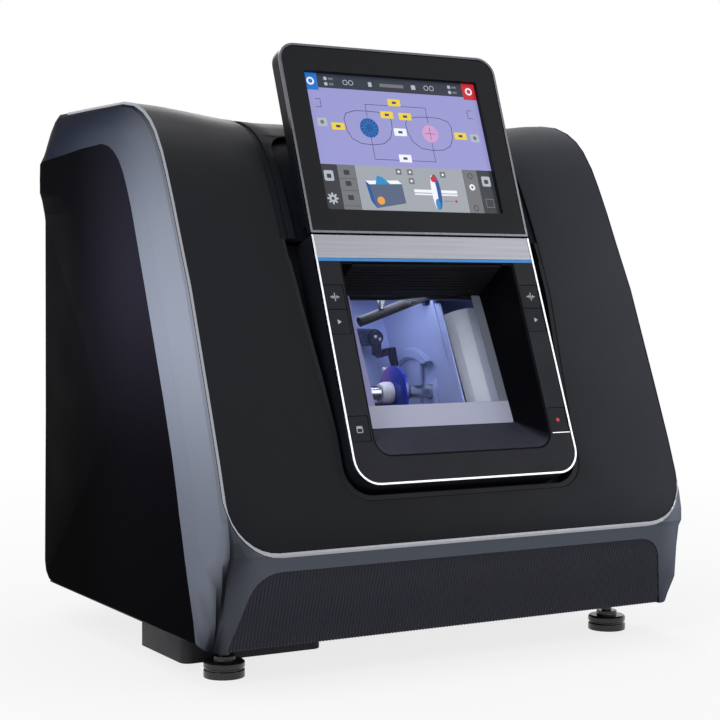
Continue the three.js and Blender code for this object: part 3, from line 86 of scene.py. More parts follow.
# Materials -----------------------------------------------------------------
class Shader:
    """A Principled material with short calls for its procedural inputs."""

    def __init__(self, name, color, rough=0.5, metal=0.0, **sockets):
        self.mat = bpy.data.materials.new(name)
        self.mat.use_nodes = True
        self.tree = self.mat.node_tree
        self.bsdf = self.tree.nodes["Principled BSDF"]
        self.color = (*color, 1.0)
        self.rough = rough
        self.tinted = None
        self.bsdf.inputs["Base Color"].default_value = self.color
        self.bsdf.inputs["Roughness"].default_value = rough
        self.bsdf.inputs["Metallic"].default_value = metal
        for key, value in sockets.items():
            self.bsdf.inputs[key.replace("_", " ")].default_value = value
        self.mat.diffuse_color = self.color

    def node(self, kind, **values):
        return add_node(self.tree, kind, **values)

    def link(self, a, b):
        self.tree.links.new(a, b)

    def place(self, scale=EVEN):
        """The place on the piece, stretched by a scale on each axis."""
        mapping = self.node("ShaderNodeMapping", Scale=scale)
        self.link(self.node("ShaderNodeTexCoord").outputs["Object"], mapping.inputs["Vector"])
        return mapping.outputs["Vector"]

    def split(self, vector):
        """The X, Y and Z outputs of a vector."""
        parts = self.node("ShaderNodeSeparateXYZ")
        self.link(vector, parts.inputs["Vector"])
        return parts.outputs

    def noise(self, scale, detail=3.0, stretch=EVEN):
        tex = self.node("ShaderNodeTexNoise", Scale=scale, Detail=detail)
        self.link(self.place(stretch), tex.inputs["Vector"])
        return tex.outputs["Fac"]

    def ramp(self, fac, low, high, start=0.35, end=0.65):
        """A value that goes from low to high while fac goes from start to end."""
        ramp = self.node("ShaderNodeMapRange", From_Min=start, From_Max=end, To_Min=low, To_Max=high)
        self.link(fac, ramp.inputs["Value"])
        return ramp.outputs["Result"]

    def times(self, value):
        """The colour so far multiplied by a value."""
        mix = self.node("ShaderNodeMix", data_type="RGBA", blend_type="MULTIPLY")
        mix.inputs["Factor"].default_value = 1.0
        if self.tinted:
            self.link(self.tinted, mix.inputs["A"])
        else:
            mix.inputs["A"].default_value = self.color
        self.link(value, mix.inputs["B"])
        self.tinted = mix.outputs["Result"]
        self.link(self.tinted, self.bsdf.inputs["Base Color"])
        return self

    def mottle(self, scale=60, amount=0.06, detail=4.0, stretch=EVEN):
        """Slight variation of the colour's brightness."""
        return self.times(self.ramp(self.noise(scale, detail, stretch), 1 - amount, 1 + amount))

    def levels(self, value, stops):
        """A smooth curve through (place, level) pairs."""
        low, high = stops[0][0], stops[-1][0]
        ramp = self.node("ShaderNodeValToRGB")
        ramp.color_ramp.interpolation = "B_SPLINE"
        while len(ramp.color_ramp.elements) < len(stops):
            ramp.color_ramp.elements.new(0.5)
        # A colour ramp holds 0 to 1, so the levels are shares of their peak
        peak = max(level for _, level in stops)
        for element, (place, level) in zip(ramp.color_ramp.elements, stops):
            share = level / peak
            element.position = (place - low) / (high - low)
            element.color = (share, share, share, 1)
        self.link(self.ramp(value, 0, 1, low, high), ramp.inputs["Fac"])
        scale = self.node("ShaderNodeMath", operation="MULTIPLY")
        self.link(ramp.outputs["Color"], scale.inputs[0])
        scale.inputs[1].default_value = peak
        return scale.outputs[0]

    def along(self, axis, stops):
        """Levels of the colour along one axis of the machine, at places in mm."""
        places = [(place * MM, level) for place, level in stops]
        return self.times(self.levels(self.split(self.place())[axis], places))

    def facing(self, axis, stops):
        """Levels of the colour by how far the surface faces along one axis, which paints light and shade by
        facing.
        """
        normal = self.node("ShaderNodeNewGeometry").outputs["Normal"]
        return self.times(self.levels(self.split(normal)[axis], stops))

    def wear(self, scale=25, amount=0.06, stretch=EVEN):
        """Slight variation of the roughness."""
        value = self.ramp(self.noise(scale, 5.0, stretch), self.rough - amount, self.rough + amount)
        self.link(value, self.bsdf.inputs["Roughness"])
        return self

    def grain(self, scale=900, depth=0.00002, detail=2.0, stretch=EVEN, strength=0.35):
        """A fine relief of a depth in metres."""
        bump = self.node("ShaderNodeBump", Strength=strength, Distance=depth)
        self.link(self.noise(scale, detail, stretch), bump.inputs["Height"])
        self.link(bump.outputs["Normal"], self.bsdf.inputs["Normal"])
        return self


FLAKE = {"scale": 1600, "detail": 1.0}
HANDLING = {"scale": 18, "amount": 0.03}
ORANGE_PEEL = {"scale": 420, "depth": 0.00002}
MOULD_TEXTURE = {"depth": 0.00003, "detail": 3.0}
TOOL_MARKS = {"scale": 900, "depth": 0.00001, "strength": 0.2}


def painted(shader, flake, peel):
    """A sprayed finish: fine flakes, handling marks and orange peel."""
    return shader.mottle(amount=flake, **FLAKE).wear(**HANDLING).grain(strength=peel, **ORANGE_PEEL).mat


def plastic(name, color, rough=0.5, texture=0.4, scale=1500, spec=0.5):
    s = Shader(name, color, rough, Specular_IOR_Level=spec).mottle(40, 0.04).wear(30, 0.04)
    return s.grain(scale, strength=texture, **MOULD_TEXTURE).mat


def dark_plastic(name, color, rough=0.42):
    """A charcoal moulding that keeps dark under the studio lamps."""
    return plastic(name, color, rough, 0.2, spec=0.12)


def steel(name, color, rough=0.25, stretch=EVEN, amount=0.1, metal=1.0):
    s = Shader(name, color, rough, metal).mottle(500, amount, 3.0, stretch).wear(300, 0.06, stretch)
    return s.grain(stretch=stretch, **TOOL_MARKS).mat


def bright(name, color, rough=0.22):
    """Polished strip metal."""
    return steel(name, color, rough, amount=0.02)


def grit(name, color, rough, speck, contrast, relief, depth, strength):
    """Bonded abrasive: specks in the colour and a sharp relief."""
    return Shader(name, color, rough, 0.3).mottle(speck, contrast).grain(relief, depth, strength=strength).mat


def frosted(name, color, glow, strength):
    """Frosted glass with the chamber's light behind it painted in as a glow."""
    s = Shader(name, color, 0.6, Emission_Color=(*glow, 1), Emission_Strength=strength)
    return s.mottle(700, 0.05).mat


def lens_tint(blue_y=-0.094, violet_y=-0.070):
    """Lens colour that changes slowly from blue to violet between two places along Y, in metres."""
    s = Shader("lens_tint", (0.03, 0.04, 0.50), 0.06, Coat_Weight=0.5)
    mix = s.node("ShaderNodeMix", data_type="RGBA")
    s.link(s.ramp(s.split(s.place())["Y"], 0, 1, blue_y, violet_y), mix.inputs["Factor"])
    mix.inputs["A"].default_value = (0.006, 0.035, 0.42, 1)
    mix.inputs["B"].default_value = (0.15, 0.015, 0.34, 1)
    s.link(mix.outputs["Result"], s.bsdf.inputs["Base Color"])
    return s.mat


# Satin black hood with a painted sheen: painted light makes it lighter to its right side and at its shoulder
charcoal = Shader("satin_black_painted_sheen", (0.0125, 0.0138, 0.0178), 0.42, Specular_IOR_Level=0.10)
charcoal.along("X", [(-260, 0.65), (-150, 0.5), (0, 0.6), (130, 1), (190, 1.6), (260, 2.2)])
charcoal.along("Z", [(0, 0.8), (180, 0.85), (330, 1.15), (430, 1), (540, 0.85)])

# Metallic frame with painted light and shade: a painted highlight makes it bright on its side bands, painted
# shade makes it dark where it rolls round to the front, and it is darker low down, at the top and towards the
# back
slate = Shader("metallic_slate_painted_light", (0.34, 0.375, 0.46), 0.30, 0.9, Specular_Tint=(0.30, 0.31, 0.36, 1))
slate.facing("X", [
    (-1, 1), (-0.97, 1), (-0.86, 0.1), (-0.7, 0.02), (-0.4, 0.05), (0, 0.42), (0.3, 0.9), (0.8, 1), (1, 1),
])
slate.along("Z", [
    (0, 0.1), (60, 0.4), (120, 0.5), (185, 0.6), (250, 0.9), (314, 1.1), (414, 0.9), (500, 0.4), (540, 0.25),
])
slate.along("Y", [(-240, 1), (-64, 1.15), (11, 0.8), (182, 0.2), (235, 0.12)])

# Side panels, nearly black, with a painted violet sheen in the middle that fades into painted shade towards the
# foot and the back
gloss_side_painted_sheen = Shader("gloss_side_painted_sheen", (0.034, 0.0325, 0.051), 0.34, Specular_IOR_Level=0.001)
gloss_side_painted_sheen.along("Z", [(0, 0.06), (190, 0.1), (260, 0.4), (340, 1), (440, 0.8), (520, 0.4)])
gloss_side_painted_sheen.along("Y", [(-200, 0.8), (-60, 1), (20, 0.8), (85, 0.3), (130, 0.15), (235, 0.15)])

# Gloss black with painted light: lighter where it faces up, and painted shade where it faces sideways or down
gloss_black_painted_light = Shader("gloss_black_painted_light", (0.036, 0.038, 0.052), 0.28, Specular_IOR_Level=0.02)
gloss_black_painted_light.facing("Z", [(-1, 0.05), (0.2, 0.05), (0.55, 0.3), (0.8, 1), (1, 1)])

# Chamber tub blue, with painted shade that darkens it towards its left end
tub_blue_painted_shade = Shader("tub_blue_painted_shade", (0.34, 0.41, 0.70), 0.34, Specular_IOR_Level=0.3)
tub_blue_painted_shade.along("X", [(-110, 0.35), (-60, 0.5), (0, 0.85), (60, 1)])

insert_black = Shader("insert_black", (0.0105, 0.0112, 0.0145), 0.42, Specular_IOR_Level=0.04)
LAMP_LIGHT = {"Emission_Color": (0.82, 0.84, 1.0, 1), "Emission_Strength": 6.0}

M = {
    "charcoal": painted(charcoal, 0.03, 0.12),
    "slate": painted(slate, 0.05, 0.12),
    "gloss_side_painted_sheen": painted(gloss_side_painted_sheen, 0.02, 0.05),
    "rear_black": plastic("rear_black", (0.009, 0.009, 0.011), 0.5, 0.5, 700, 0.2),
    "insert": painted(insert_black, 0.03, 0.12),
    "trim": bright("bright_trim", (0.36, 0.36, 0.40)),
    "line": bright("bright_line", (0.55, 0.55, 0.58)),
    "edge": bright("dark_edge", (0.13, 0.13, 0.15), 0.25),
    "grille": plastic("grille_charcoal", (0.017, 0.018, 0.027), 0.45, 0.2, spec=0.2),
    "liner": dark_plastic("liner_charcoal", (0.010, 0.011, 0.014)),
    "console": dark_plastic("console_charcoal", (0.0105, 0.0112, 0.0158)),
    "button": dark_plastic("button_charcoal", (0.0095, 0.0105, 0.0145), 0.45),
    "bar": steel("brushed_bar", (0.285, 0.29, 0.325), 0.36, (0.02, 1, 1), 0.05, 0.7),
    "blue": plastic("blue_strip", (0.015, 0.22, 0.60), 0.4, 0.1),
    "gloss_black_painted_light": gloss_black_painted_light.mottle(40, 0.04).mat,
    "ribbed_black": plastic("ribbed_black", (0.007, 0.007, 0.009), 0.5, 0.3, spec=0.12),
    "zinc": steel("zinc_plate", (0.40, 0.41, 0.43), 0.38),
    "tub": tub_blue_painted_shade.mottle(40, 0.04).mat,
    "guard": plastic("pale_guard", (0.86, 0.87, 0.86), 0.35, 0.1),
    "rubber": plastic("black_rubber", (0.010, 0.010, 0.013), 0.6, 0.6, 900, 0.3),
    "white": plastic("white_plastic", (0.78, 0.78, 0.82), 0.45, 0.2),
    "motor": plastic("motor_grey", (0.09, 0.09, 0.10), 0.5, 0.5),
    "ground": steel("ground_steel", (0.60, 0.61, 0.64), 0.2, (1, 0.05, 0.05)),
    "cast": steel("cast_alloy", (0.42, 0.43, 0.45), 0.5),
    "bezel": dark_plastic("bezel_charcoal", (0.0062, 0.0068, 0.0090)),
    "screen": plastic("screen_glass", (0.010, 0.011, 0.018), 0.10, 0.02),
    "coarse": grit("coarse_grit", (0.36, 0.28, 0.15), 0.85, 1500, 0.35, 2500, 0.0002, 0.8),
    "fine": grit("fine_grit", (0.42, 0.37, 0.26), 0.7, 2500, 0.2, 4000, 0.0001, 0.6),
    "polish": grit("polish_grit", (0.48, 0.46, 0.40), 0.5, 3500, 0.1, 6000, 0.00005, 0.5),
    "feet": plastic("foot_black", (0.014, 0.014, 0.016), 0.22, 0.1),
    "cup": plastic("cup_blue", (0.010, 0.012, 0.075), 0.4, 0.2),
    "dark_steel": steel("dark_steel", (0.014, 0.018, 0.046), 0.30, metal=0.4),
    # Frosted border parts, each with its own painted glow: strongest on the left, weakest on the right
    "frost": frosted("frosted_border_painted_glow", (0.34, 0.35, 0.46), (0.42, 0.44, 0.58), 0.18),
    "frost_left": frosted("frosted_left_painted_glow", (0.20, 0.20, 0.36), (0.30, 0.30, 0.62), 0.22),
    "frost_right": frosted("frosted_right_painted_glow", (0.13, 0.145, 0.19), (0.40, 0.44, 0.54), 0.06),
    "icon": plastic("icon_grey", (0.42, 0.43, 0.46), 0.5, 0.1),
    "icon_red": plastic("icon_red", (0.55, 0.015, 0.05), 0.4, 0.1),
    "pane": Shader("clear_pane", (0.90, 0.92, 1.0), 0.02, Transmission_Weight=1.0, IOR=1.1).mat,
    "lens": lens_tint(),
    "lamp": Shader("lamp_lit", (0.9, 0.9, 0.95), **LAMP_LIGHT).mat,
}


# Dressing the frame --------------------------------------------------------
SMOOTH_ANGLE = 32
MELT_ANGLE = 0.6
WELD_DISTANCE = 2e-6
BEVEL_SEGMENTS = 2


def ride(piece, body, material):
    piece.data.materials.append(M[material])
    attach(piece, body)
    return piece


def smooth(piece):
    for poly in piece.data.polygons:
        poly.use_smooth = True
    piece.data.set_sharp_from_angle(angle=math.radians(SMOOTH_ANGLE))


def dress(node, material, bevel):
    """The node's own shape with eased edges and smooth faces, in its place. The bevel is in mm."""
    bm = bmesh.new()
    bm.from_mesh(nodes[node].data)
    bmesh.ops.remove_doubles(bm, verts=bm.verts, dist=WELD_DISTANCE)
    bmesh.ops.dissolve_limit(bm, angle_limit=math.radians(MELT_ANGLE), verts=bm.verts, edges=bm.edges)
    piece = add_object("skin_" + node, mesh_of("skin_" + node, bm))
    smooth(piece)
    mod = piece.modifiers.new("edges", "BEVEL")
    mod.width = bevel * MM
    mod.segments = BEVEL_SEGMENTS
    mod.limit_method = "ANGLE"
    mod.angle_limit = math.radians(SMOOTH_ANGLE)
    mod.harden_normals = True
    ride(piece, body_of_node[node], material)
    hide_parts(node)


# The material of each node and the width of its eased edges in mm
DRESSED = {
    "base_pan": ("rubber", 0.3), "sump_tray": ("rubber", 0.8), "front_frame": ("slate", 0.3),
    "left_side_panel": ("gloss_side_painted_sheen", 0.3), "right_side_panel": ("gloss_side_painted_sheen", 0.3),
    "rear_cover": ("rear_black", 0.3), "front_hood": ("charcoal", 0.3), "centre_insert": ("insert", 0.3),
    "hood_trim": ("trim", 0.3), "front_grille": ("grille", 0.25), "pocket_liner": ("liner", 0.4),
    "console_housing": ("console", 0.4), "console_trim": ("line", 0.3), "console_bar": ("bar", 0.2),
    "accent_strip": ("blue", 0.2), "window_surround": ("gloss_black_painted_light", 0.3), "visor": ("ribbed_black", 0.2),
    "door_track": ("zinc", 0.2), "chamber_tub": ("tub", 0.4), "wheel_guard": ("guard", 0.2),
    "water_nozzle": ("rubber", 0.2), "chamber_lamp": ("lamp", 0.5), "feeler_boss": ("dark_steel", 0.4),
    "wheel_motor": ("motor", 0.6), "power_inlet": ("rubber", 0.5), "left_chassis_plate": ("zinc", 0.2),
    "right_chassis_plate": ("zinc", 0.2), "pivot_shaft": ("ground", 0.4), "hinge_pin": ("ground", 0.3),
    "display_housing": ("bezel", 0.6), "display_bezel": ("bezel", 0.4), "display_panel": ("screen", 0.2),
    "display_trim": ("edge", 0.25), "display_hinge": ("zinc", 0.3), "door_frame": ("ribbed_black", 0.3),
    "door_pane": ("pane", 0.2), "carriage_yoke": ("cast", 0.6), "left_chuck_shaft": ("ground", 0.4),
    "lens_adapter": ("white", 0.4), "lens": ("lens", 0.2), "clamp_quill": ("ground", 0.4),
    "right_chuck_shaft": ("ground", 0.4), "clamp_pad": ("cup", 0.4), "wheel_spindle": ("ground", 0.4),
    "roughing_wheel": ("coarse", 0.3), "finishing_wheel": ("fine", 0.3), "polishing_wheel": ("polish", 0.3),
    "feeler_arm": ("dark_steel", 0.4), "feeler_stylus": ("white", 0.3), "power_switch": ("gloss_black_painted_light", 0.3),
}
for name in ("left_clamp", "right_clamp", "left_start", "right_start", "door", "stop"):
    DRESSED[name + "_button"] = ("button", 0.5)
for name in ("front_left", "front_right", "rear_left", "rear_right"):
    DRESSED[name + "_foot"] = ("feet", 0.4)
for node, (material, bevel) in DRESSED.items():
    dress(node, material, bevel)


# Flat details --------------------------------------------------------------
HINGE_Y, HINGE_Z = -140.738, 402.801
DOOR_Y, DOOR_Z = -170.505, 219.165
CONSOLE_LEAN, DISPLAY_LEAN, DOOR_LEAN = 0.369162, 0.349091, 0.455276
CORNER_STEPS = 4
DISC_STEPS = 28
# How far a plate sinks behind its face, as a share of the lift, and a stroke laps its ends, as one of its width
SINK_SHARE, LAP_SHARE = 0.25, 0.35


def leaning(y, z, lean):
    """A frame on a sloping face: +Z up the slope, +Y into the machine, in metres."""
    return Matrix.Translation((0, y * MM, z * MM)) @ Matrix.Rotation(-lean, 4, "X")


console_place = leaning(HINGE_Y, HINGE_Z, CONSOLE_LEAN)
display_place = leaning(HINGE_Y, HINGE_Z, DISPLAY_LEAN)
door_place = leaning(DOOR_Y, DOOR_Z, DOOR_LEAN)


def front_of(node, place):
    """How far the front of a node lies along +Y of a sloping frame, in mm."""
    seen = place.inverted() @ nodes[node].matrix_world
    return min((seen @ v.co).y for v in nodes[node].data.vertices) / MM


def rounded(x0, x1, z0, z1, r=0.0):
    """A rectangle's outline, with round corners of radius r."""
    if not r:
        return [(x0, z0), (x1, z0), (x1, z1), (x0, z1)]
    points = []
    corners = [(x1 - r, z0 + r), (x1 - r, z1 - r), (x0 + r, z1 - r), (x0 + r, z0 + r)]
    for quarter, (cx, cz) in enumerate(corners):
        for i in range(CORNER_STEPS + 1):
            angle = math.radians(90 * (quarter - 1 + i / CORNER_STEPS))
            points.append((cx + r * math.cos(angle), cz + r * math.sin(angle)))
    return points


def disc(cx, cz, rx, rz=None):
    """The outline of a disc, or of an ellipse where rz is given."""
    rz = rz or rx
    return [(cx + rx * math.cos(t), cz + rz * math.sin(t)) for t in ring_turns(DISC_STEPS)]


class Art:
    """Thin plates on one sloping face, gathered by material, that ride one body. Sizes are in mm."""

    def __init__(self, name, place, face, body, lift=0.02, thick=0.06):
        self.name, self.place, self.face, self.body = name, place, face, body
        self.lift, self.thick = lift, thick
        self.meshes = {}

    def solid(self, material, outline, level):
        """A plate of an outline; a higher level lies in front of a lower one."""
        if material not in self.meshes:
            self.meshes[material] = bmesh.new()
        bm = self.meshes[material]
        front = self.face - self.lift * level - self.thick
        back = self.face - self.lift * SINK_SHARE
        near, far = (
            [bm.verts.new(self.place @ (Vector((x, y, z)) * MM)) for x, z in outline] for y in (front, back)
        )
        bm.faces.new(near)
        bm.faces.new(far)
        ring_faces(bm, near, far)

    def line(self, material, points, width, level, closed=False):
        """Straight strokes from point to point, each a thin bar that laps a little over its ends."""
        ends = points[1:] + points[:1] if closed else points[1:]
        for start, end in zip(points, ends):
            a, b = Vector(start), Vector(end)
            if (b - a).length < 1e-6:
                continue
            along = (b - a).normalized()
            side = Vector((-along.y, along.x)) * width / 2
            lap = along * width * LAP_SHARE
            a, b = a - lap, b + lap
            self.solid(material, [tuple(a - side), tuple(b - side), tuple(b + side), tuple(a + side)], level)

    def done(self):
        """One piece for each material, in the order of their first use."""
        for material, bm in self.meshes.items():
            bmesh.ops.recalc_face_normals(bm, faces=bm.faces)
            name = f"{self.name}_{material}"
            ride(add_object(name, mesh_of(name, bm)), self.body, material)


LIT_COLORS = {
    "lavender": (0.31, 0.31, 0.62), "bar": (0.030, 0.036, 0.056), "blue": (0.013, 0.16, 0.56),
    "red": (0.55, 0.020, 0.035), "line": (0.050, 0.048, 0.14), "yellow": (0.83, 0.62, 0.05),
    "white": (0.86, 0.87, 0.93), "pink": (0.62, 0.33, 0.60), "navy": (0.012, 0.085, 0.33),
    "grey": (0.34, 0.36, 0.40), "mid": (0.16, 0.165, 0.18), "dark": (0.036, 0.038, 0.045),
    "tile": (0.42, 0.47, 0.53), "slate": (0.085, 0.12, 0.20), "orange": (0.80, 0.34, 0.07),
    "sky": (0.02, 0.25, 0.55),
}
UNLIT_SHARE = 0.15
for name, color in LIT_COLORS.items():
    glow = {"Emission_Color": (*color, 1), "Emission_Strength": 0.9}
    patch = Shader("lit_" + name, tuple(c * UNLIT_SHARE for c in color), 0.25, Specular_IOR_Level=0.2, **glow)
    M["lit_" + name] = patch.mottle(900, 0.02).mat

SCREEN_HALF, SCREEN_LOW, SCREEN_HIGH = 100.5, 25.7, 172.3
# Layers of the picture, from the back to the front
GROUND, PANEL, MARK, SIGN, LABEL, INK = 1, 2, 3, 4, 5, 6
screen = Art("picture", display_place, front_of("display_panel", display_place), "display")


def at(u, v):
    """Place on the screen from its top left corner, as shares of its width and height."""
    return (-SCREEN_HALF + 2 * SCREEN_HALF * u, SCREEN_HIGH - (SCREEN_HIGH - SCREEN_LOW) * v)


def tile(color, u0, u1, v0, v1, level, r=0.0):
    (x0, z1), (x1, z0) = at(u0, v0), at(u1, v1)
    screen.solid("lit_" + color, rounded(x0, x1, z0, z1, r), level)


def badge(color, u, v, half_u, half_v, level, r=0.0):
    """A tile about its middle."""
    tile(color, u - half_u, u + half_u, v - half_v, v + half_v, level, r)


def shape(color, places, level):
    screen.solid("lit_" + color, [at(u, v) for u, v in places], level)


def spot(color, u, v, r, level, tall=None):
    """A disc of a radius in mm, or an ellipse that is tall high."""
    screen.solid("lit_" + color, disc(*at(u, v), r, tall), level)


def stroke(color, places, width, level, closed=False):
    screen.line("lit_" + color, [at(u, v) for u, v in places], width, level, closed)


def ring(color, u, v, half_u, half_v, width):
    """An eight-sided ring."""
    places = [(u + half_u * math.cos(t), v + half_v * math.sin(t)) for t in ring_turns(8)]
    stroke(color, places, width, PANEL, True)


# Header bar with corner tiles, small signs and a title bar
HEADER = 0.105
tile("lavender", 0, 1, HEADER, 0.665, GROUND)
tile("bar", 0, 1, 0, HEADER, GROUND)
tile("blue", 0, 0.078, 0, 0.125, PANEL)
tile("red", 0.922, 1, 0, 0.125, PANEL)
for color, u in (("blue", 0.039), ("red", 0.961)):
    spot("white", u, 0.06, 4.2, MARK)
    spot(color, u, 0.06, 2.4, SIGN)
for u in (0.115, 0.835):
    for v in (0.035, 0.075):
        tile("tile", u, u + 0.018, v - 0.012, v + 0.012, PANEL, 0.8)
        tile("mid", u + 0.026, u + 0.052, v - 0.008, v + 0.008, PANEL)
for u in (0.25, 0.72):
    for side in (-1, 1):
        ring("tile", u + side * 0.016, 0.055, 0.013, 0.018, 0.7)
tile("tile", 0.365, 0.385, 0.04, 0.075, PANEL, 0.8)
tile("mid", 0.43, 0.57, 0.045, 0.07, PANEL)
tile("tile", 0.615, 0.64, 0.04, 0.075, PANEL, 0.8)

# The two lens outlines, as shares of half their width and height from their middles
LENS_SHARES = [
    (-1, -0.45), (-0.88, -0.8), (-0.5, -0.98), (0, -1), (0.5, -0.97), (0.9, -0.82), (1, -0.5), (0.97, 0.0),
    (0.82, 0.55), (0.5, 0.9), (0.05, 1), (-0.45, 0.95), (-0.8, 0.68), (-0.95, 0.2),
]
LEFT_LENS, RIGHT_LENS = (0.325, 0.385), (0.675, 0.405)
for (u, v), flip in ((LEFT_LENS, 1), (RIGHT_LENS, -1)):
    stroke("line", [(u + flip * x * 0.135, v + z * 0.125) for x, z in LENS_SHARES], 0.7, PANEL, True)

# A spoked disc in the left lens and a cross in the right one
SPOKES = 7
spot("navy", *LEFT_LENS, 10.5, MARK)
for i in range(SPOKES):
    turn = math.pi * i / SPOKES
    du, dv = 0.047 * math.cos(turn), 0.065 * math.sin(turn)
    u, v = LEFT_LENS
    stroke("sky", [(u - du, v - dv), (u + du, v + dv)], 0.6, SIGN)
spot("navy", *LEFT_LENS, 4.2, LABEL)
spot("pink", *RIGHT_LENS, 9.5, MARK)
u, v = RIGHT_LENS
stroke("line", [(u, 0.36), (u, 0.45)], 0.5, SIGN)
stroke("line", [(u - 0.03, v), (u + 0.03, v)], 0.5, SIGN)

# Measuring lines round the lenses, with yellow and white labels on them
for low, high, middle in ((0.45, 0.46, 0.615), (0.3, 0.32, 0.21)):
    places = [(LEFT_LENS[0], low), (LEFT_LENS[0], middle), (RIGHT_LENS[0], middle), (RIGHT_LENS[0], high)]
    stroke("line", places, 0.6, PANEL)
for color, half_v, places in (
    ("yellow", 0.026, ((0.15, 0.385), (0.855, 0.41), (0.44, 0.28), (0.545, 0.285), (0.495, 0.185))),
    ("white", 0.028, ((0.5, 0.405), (0.5, 0.60))),
):
    for u, v in places:
        badge(color, u, v, 0.036, half_v, LABEL, 0.8)
        badge("line", u, v, 0.012, 0.009, INK)
for u, v in ((0.065, 0.36), (0.94, 0.42)):
    badge("tile", u, v, 0.026, 0.03, LABEL, 1.2)
    spot("mid", u, v, 2.2, INK)
stroke("line", [(0.045, 0.25), (0.075, 0.25), (0.075, 0.19), (0.05, 0.19)], 0.6, PANEL)
stroke("line", [(0.955, 0.27), (0.925, 0.27), (0.925, 0.21), (0.95, 0.21)], 0.6, PANEL)

# Row of tool tiles at the foot
FOOT = 0.665
tile("grey", 0.2, 0.82, FOOT, 1, GROUND)
for color, u0, u1 in (("dark", 0, 0.098), ("mid", 0.102, 0.198), ("mid", 0.822, 0.905), ("dark", 0.909, 1)):
    tile(color, u0, u1, FOOT, 1, GROUND)
for u in (0.049, 0.954):
    tile("tile", u - 0.026, u + 0.026, 0.71, 0.785, PANEL, 1.6)
    tile("dark", u - 0.012, u + 0.012, 0.735, 0.765, MARK, 0.6)
GEAR = (0.049, 0.91)
for turn in ring_turns(8):
    tooth = (GEAR[0] + 0.027 * math.cos(turn), GEAR[1] + 0.037 * math.sin(turn))
    stroke("tile", [GEAR, tooth], 1.8, PANEL)
spot("tile", *GEAR, 4.1, MARK)
spot("dark", *GEAR, 1.7, SIGN)
stroke("mid", [(0.93, 0.88), (0.975, 0.88), (0.975, 0.94), (0.93, 0.94)], 0.7, PANEL, True)
for v in (0.72, 0.80, 0.90):
    tile("dark", 0.133, 0.165, v - 0.018, v + 0.018, PANEL, 1.0)
for v in (0.765, 0.85, 0.96):
    stroke("dark", [(0.106, v), (0.194, v)], 0.4, PANEL)
DIAL_U = 0.863
spot("white", DIAL_U, 0.795, 3.4, PANEL)
spot("mid", DIAL_U, 0.795, 1.5, MARK)
for v in (0.71, 0.95):
    ring("dark", DIAL_U, v, 0.014, 0.02, 0.8)
for u, v in ((0.445, 0.70), (0.51, 0.70), (0.51, 0.765), (0.70, 0.71)):
    badge("mid", u, v, 0.016, 0.022, PANEL, 0.8)
    spot("white", u, v, 1.3, MARK)

# A block with a lens sketched on it, and a lens clamped on its shaft
shape("slate", ((0.285, 0.97), (0.265, 0.80), (0.45, 0.79), (0.455, 0.93)), PANEL)
shape("navy", ((0.285, 0.97), (0.26, 0.92), (0.245, 0.775), (0.265, 0.80)), MARK)
shape("white", ((0.265, 0.80), (0.245, 0.775), (0.43, 0.765), (0.45, 0.79)), MARK)
shape("sky", ((0.30, 0.80), (0.315, 0.735), (0.345, 0.745), (0.385, 0.795)), SIGN)
spot("orange", 0.315, 0.915, 4.2, LABEL)
tile("white", 0.515, 0.765, 0.825, 0.865, PANEL)
tile("mid", 0.515, 0.765, 0.848, 0.853, MARK)
spot("navy", 0.645, 0.84, 5.2, SIGN, 19)
spot("white", 0.632, 0.84, 3.2, LABEL, 18)
spot("sky", 0.640, 0.93, 2.6, INK, 6)
spot("red", 0.640, 0.745, 3.4, INK)
stroke("sky", [(0.68, 0.905), (0.73, 0.905)], 0.8, PANEL)
spot("red", 0.75, 0.905, 1.5, PANEL)
screen.done()

# Marks on the six buttons, in mm on the sloping face of the console
BUTTON_X = 111.4
CLAMP_Z, START_Z, DOOR_BUTTON_Z = -63.7, -88.3, -192.4
MARK_WIDTH, ARROW_WIDTH = 0.9, 0.7


def mark_on(node):
    return Art("mark_" + node, console_place, front_of(node, console_place), node)


for x, name in ((-BUTTON_X, "left"), (BUTTON_X, "right")):
    mark = mark_on(f"{name}_clamp_button")
    mark.line("icon", [(x, CLAMP_Z - 3.8), (x, CLAMP_Z + 3.8)], MARK_WIDTH, 1)
    for way in (-1, 1):
        tip, tail, barb = x + way * 1.2, x + way * 4.6, x + way * 2.6
        mark.line("icon", [(tip, CLAMP_Z), (tail, CLAMP_Z)], MARK_WIDTH, 1)
        mark.line("icon", [(barb, CLAMP_Z - 1.4), (tip, CLAMP_Z), (barb, CLAMP_Z + 1.4)], ARROW_WIDTH, 1)
    mark.done()
    mark = mark_on(f"{name}_start_button")
    mark.solid("icon", [(x - 1.7, START_Z - 2.3), (x + 2.3, START_Z), (x - 1.7, START_Z + 2.3)], 1)
    mark.done()

FLAP_HALF, FLAP_BAND = 2.8, 2.0
x0, x1 = -BUTTON_X - FLAP_HALF, -BUTTON_X + FLAP_HALF
z0, z1 = DOOR_BUTTON_Z - FLAP_HALF, DOOR_BUTTON_Z + FLAP_HALF
mark = mark_on("door_button")
mark.line("icon", rounded(x0, x1, z0, z1), 0.8, 1, True)
mark.solid("icon", rounded(x0, x1, z1 - FLAP_BAND, z1), 1)
mark.done()
STOP_DOT, STOP_DOT_RADIUS = (110.6, -191.8), 1.9
STOP_LINE = {"x0": 101.0, "x1": 121.6, "z0": -205.0, "z1": -204.2}
mark = mark_on("stop_button")
mark.solid("icon_red", disc(*STOP_DOT, STOP_DOT_RADIUS), 1)
mark.done()
mark = Art("stop_line", console_place, front_of("console_housing", console_place), "casing")
mark.solid("line", rounded(**STOP_LINE), 1)
mark.done()

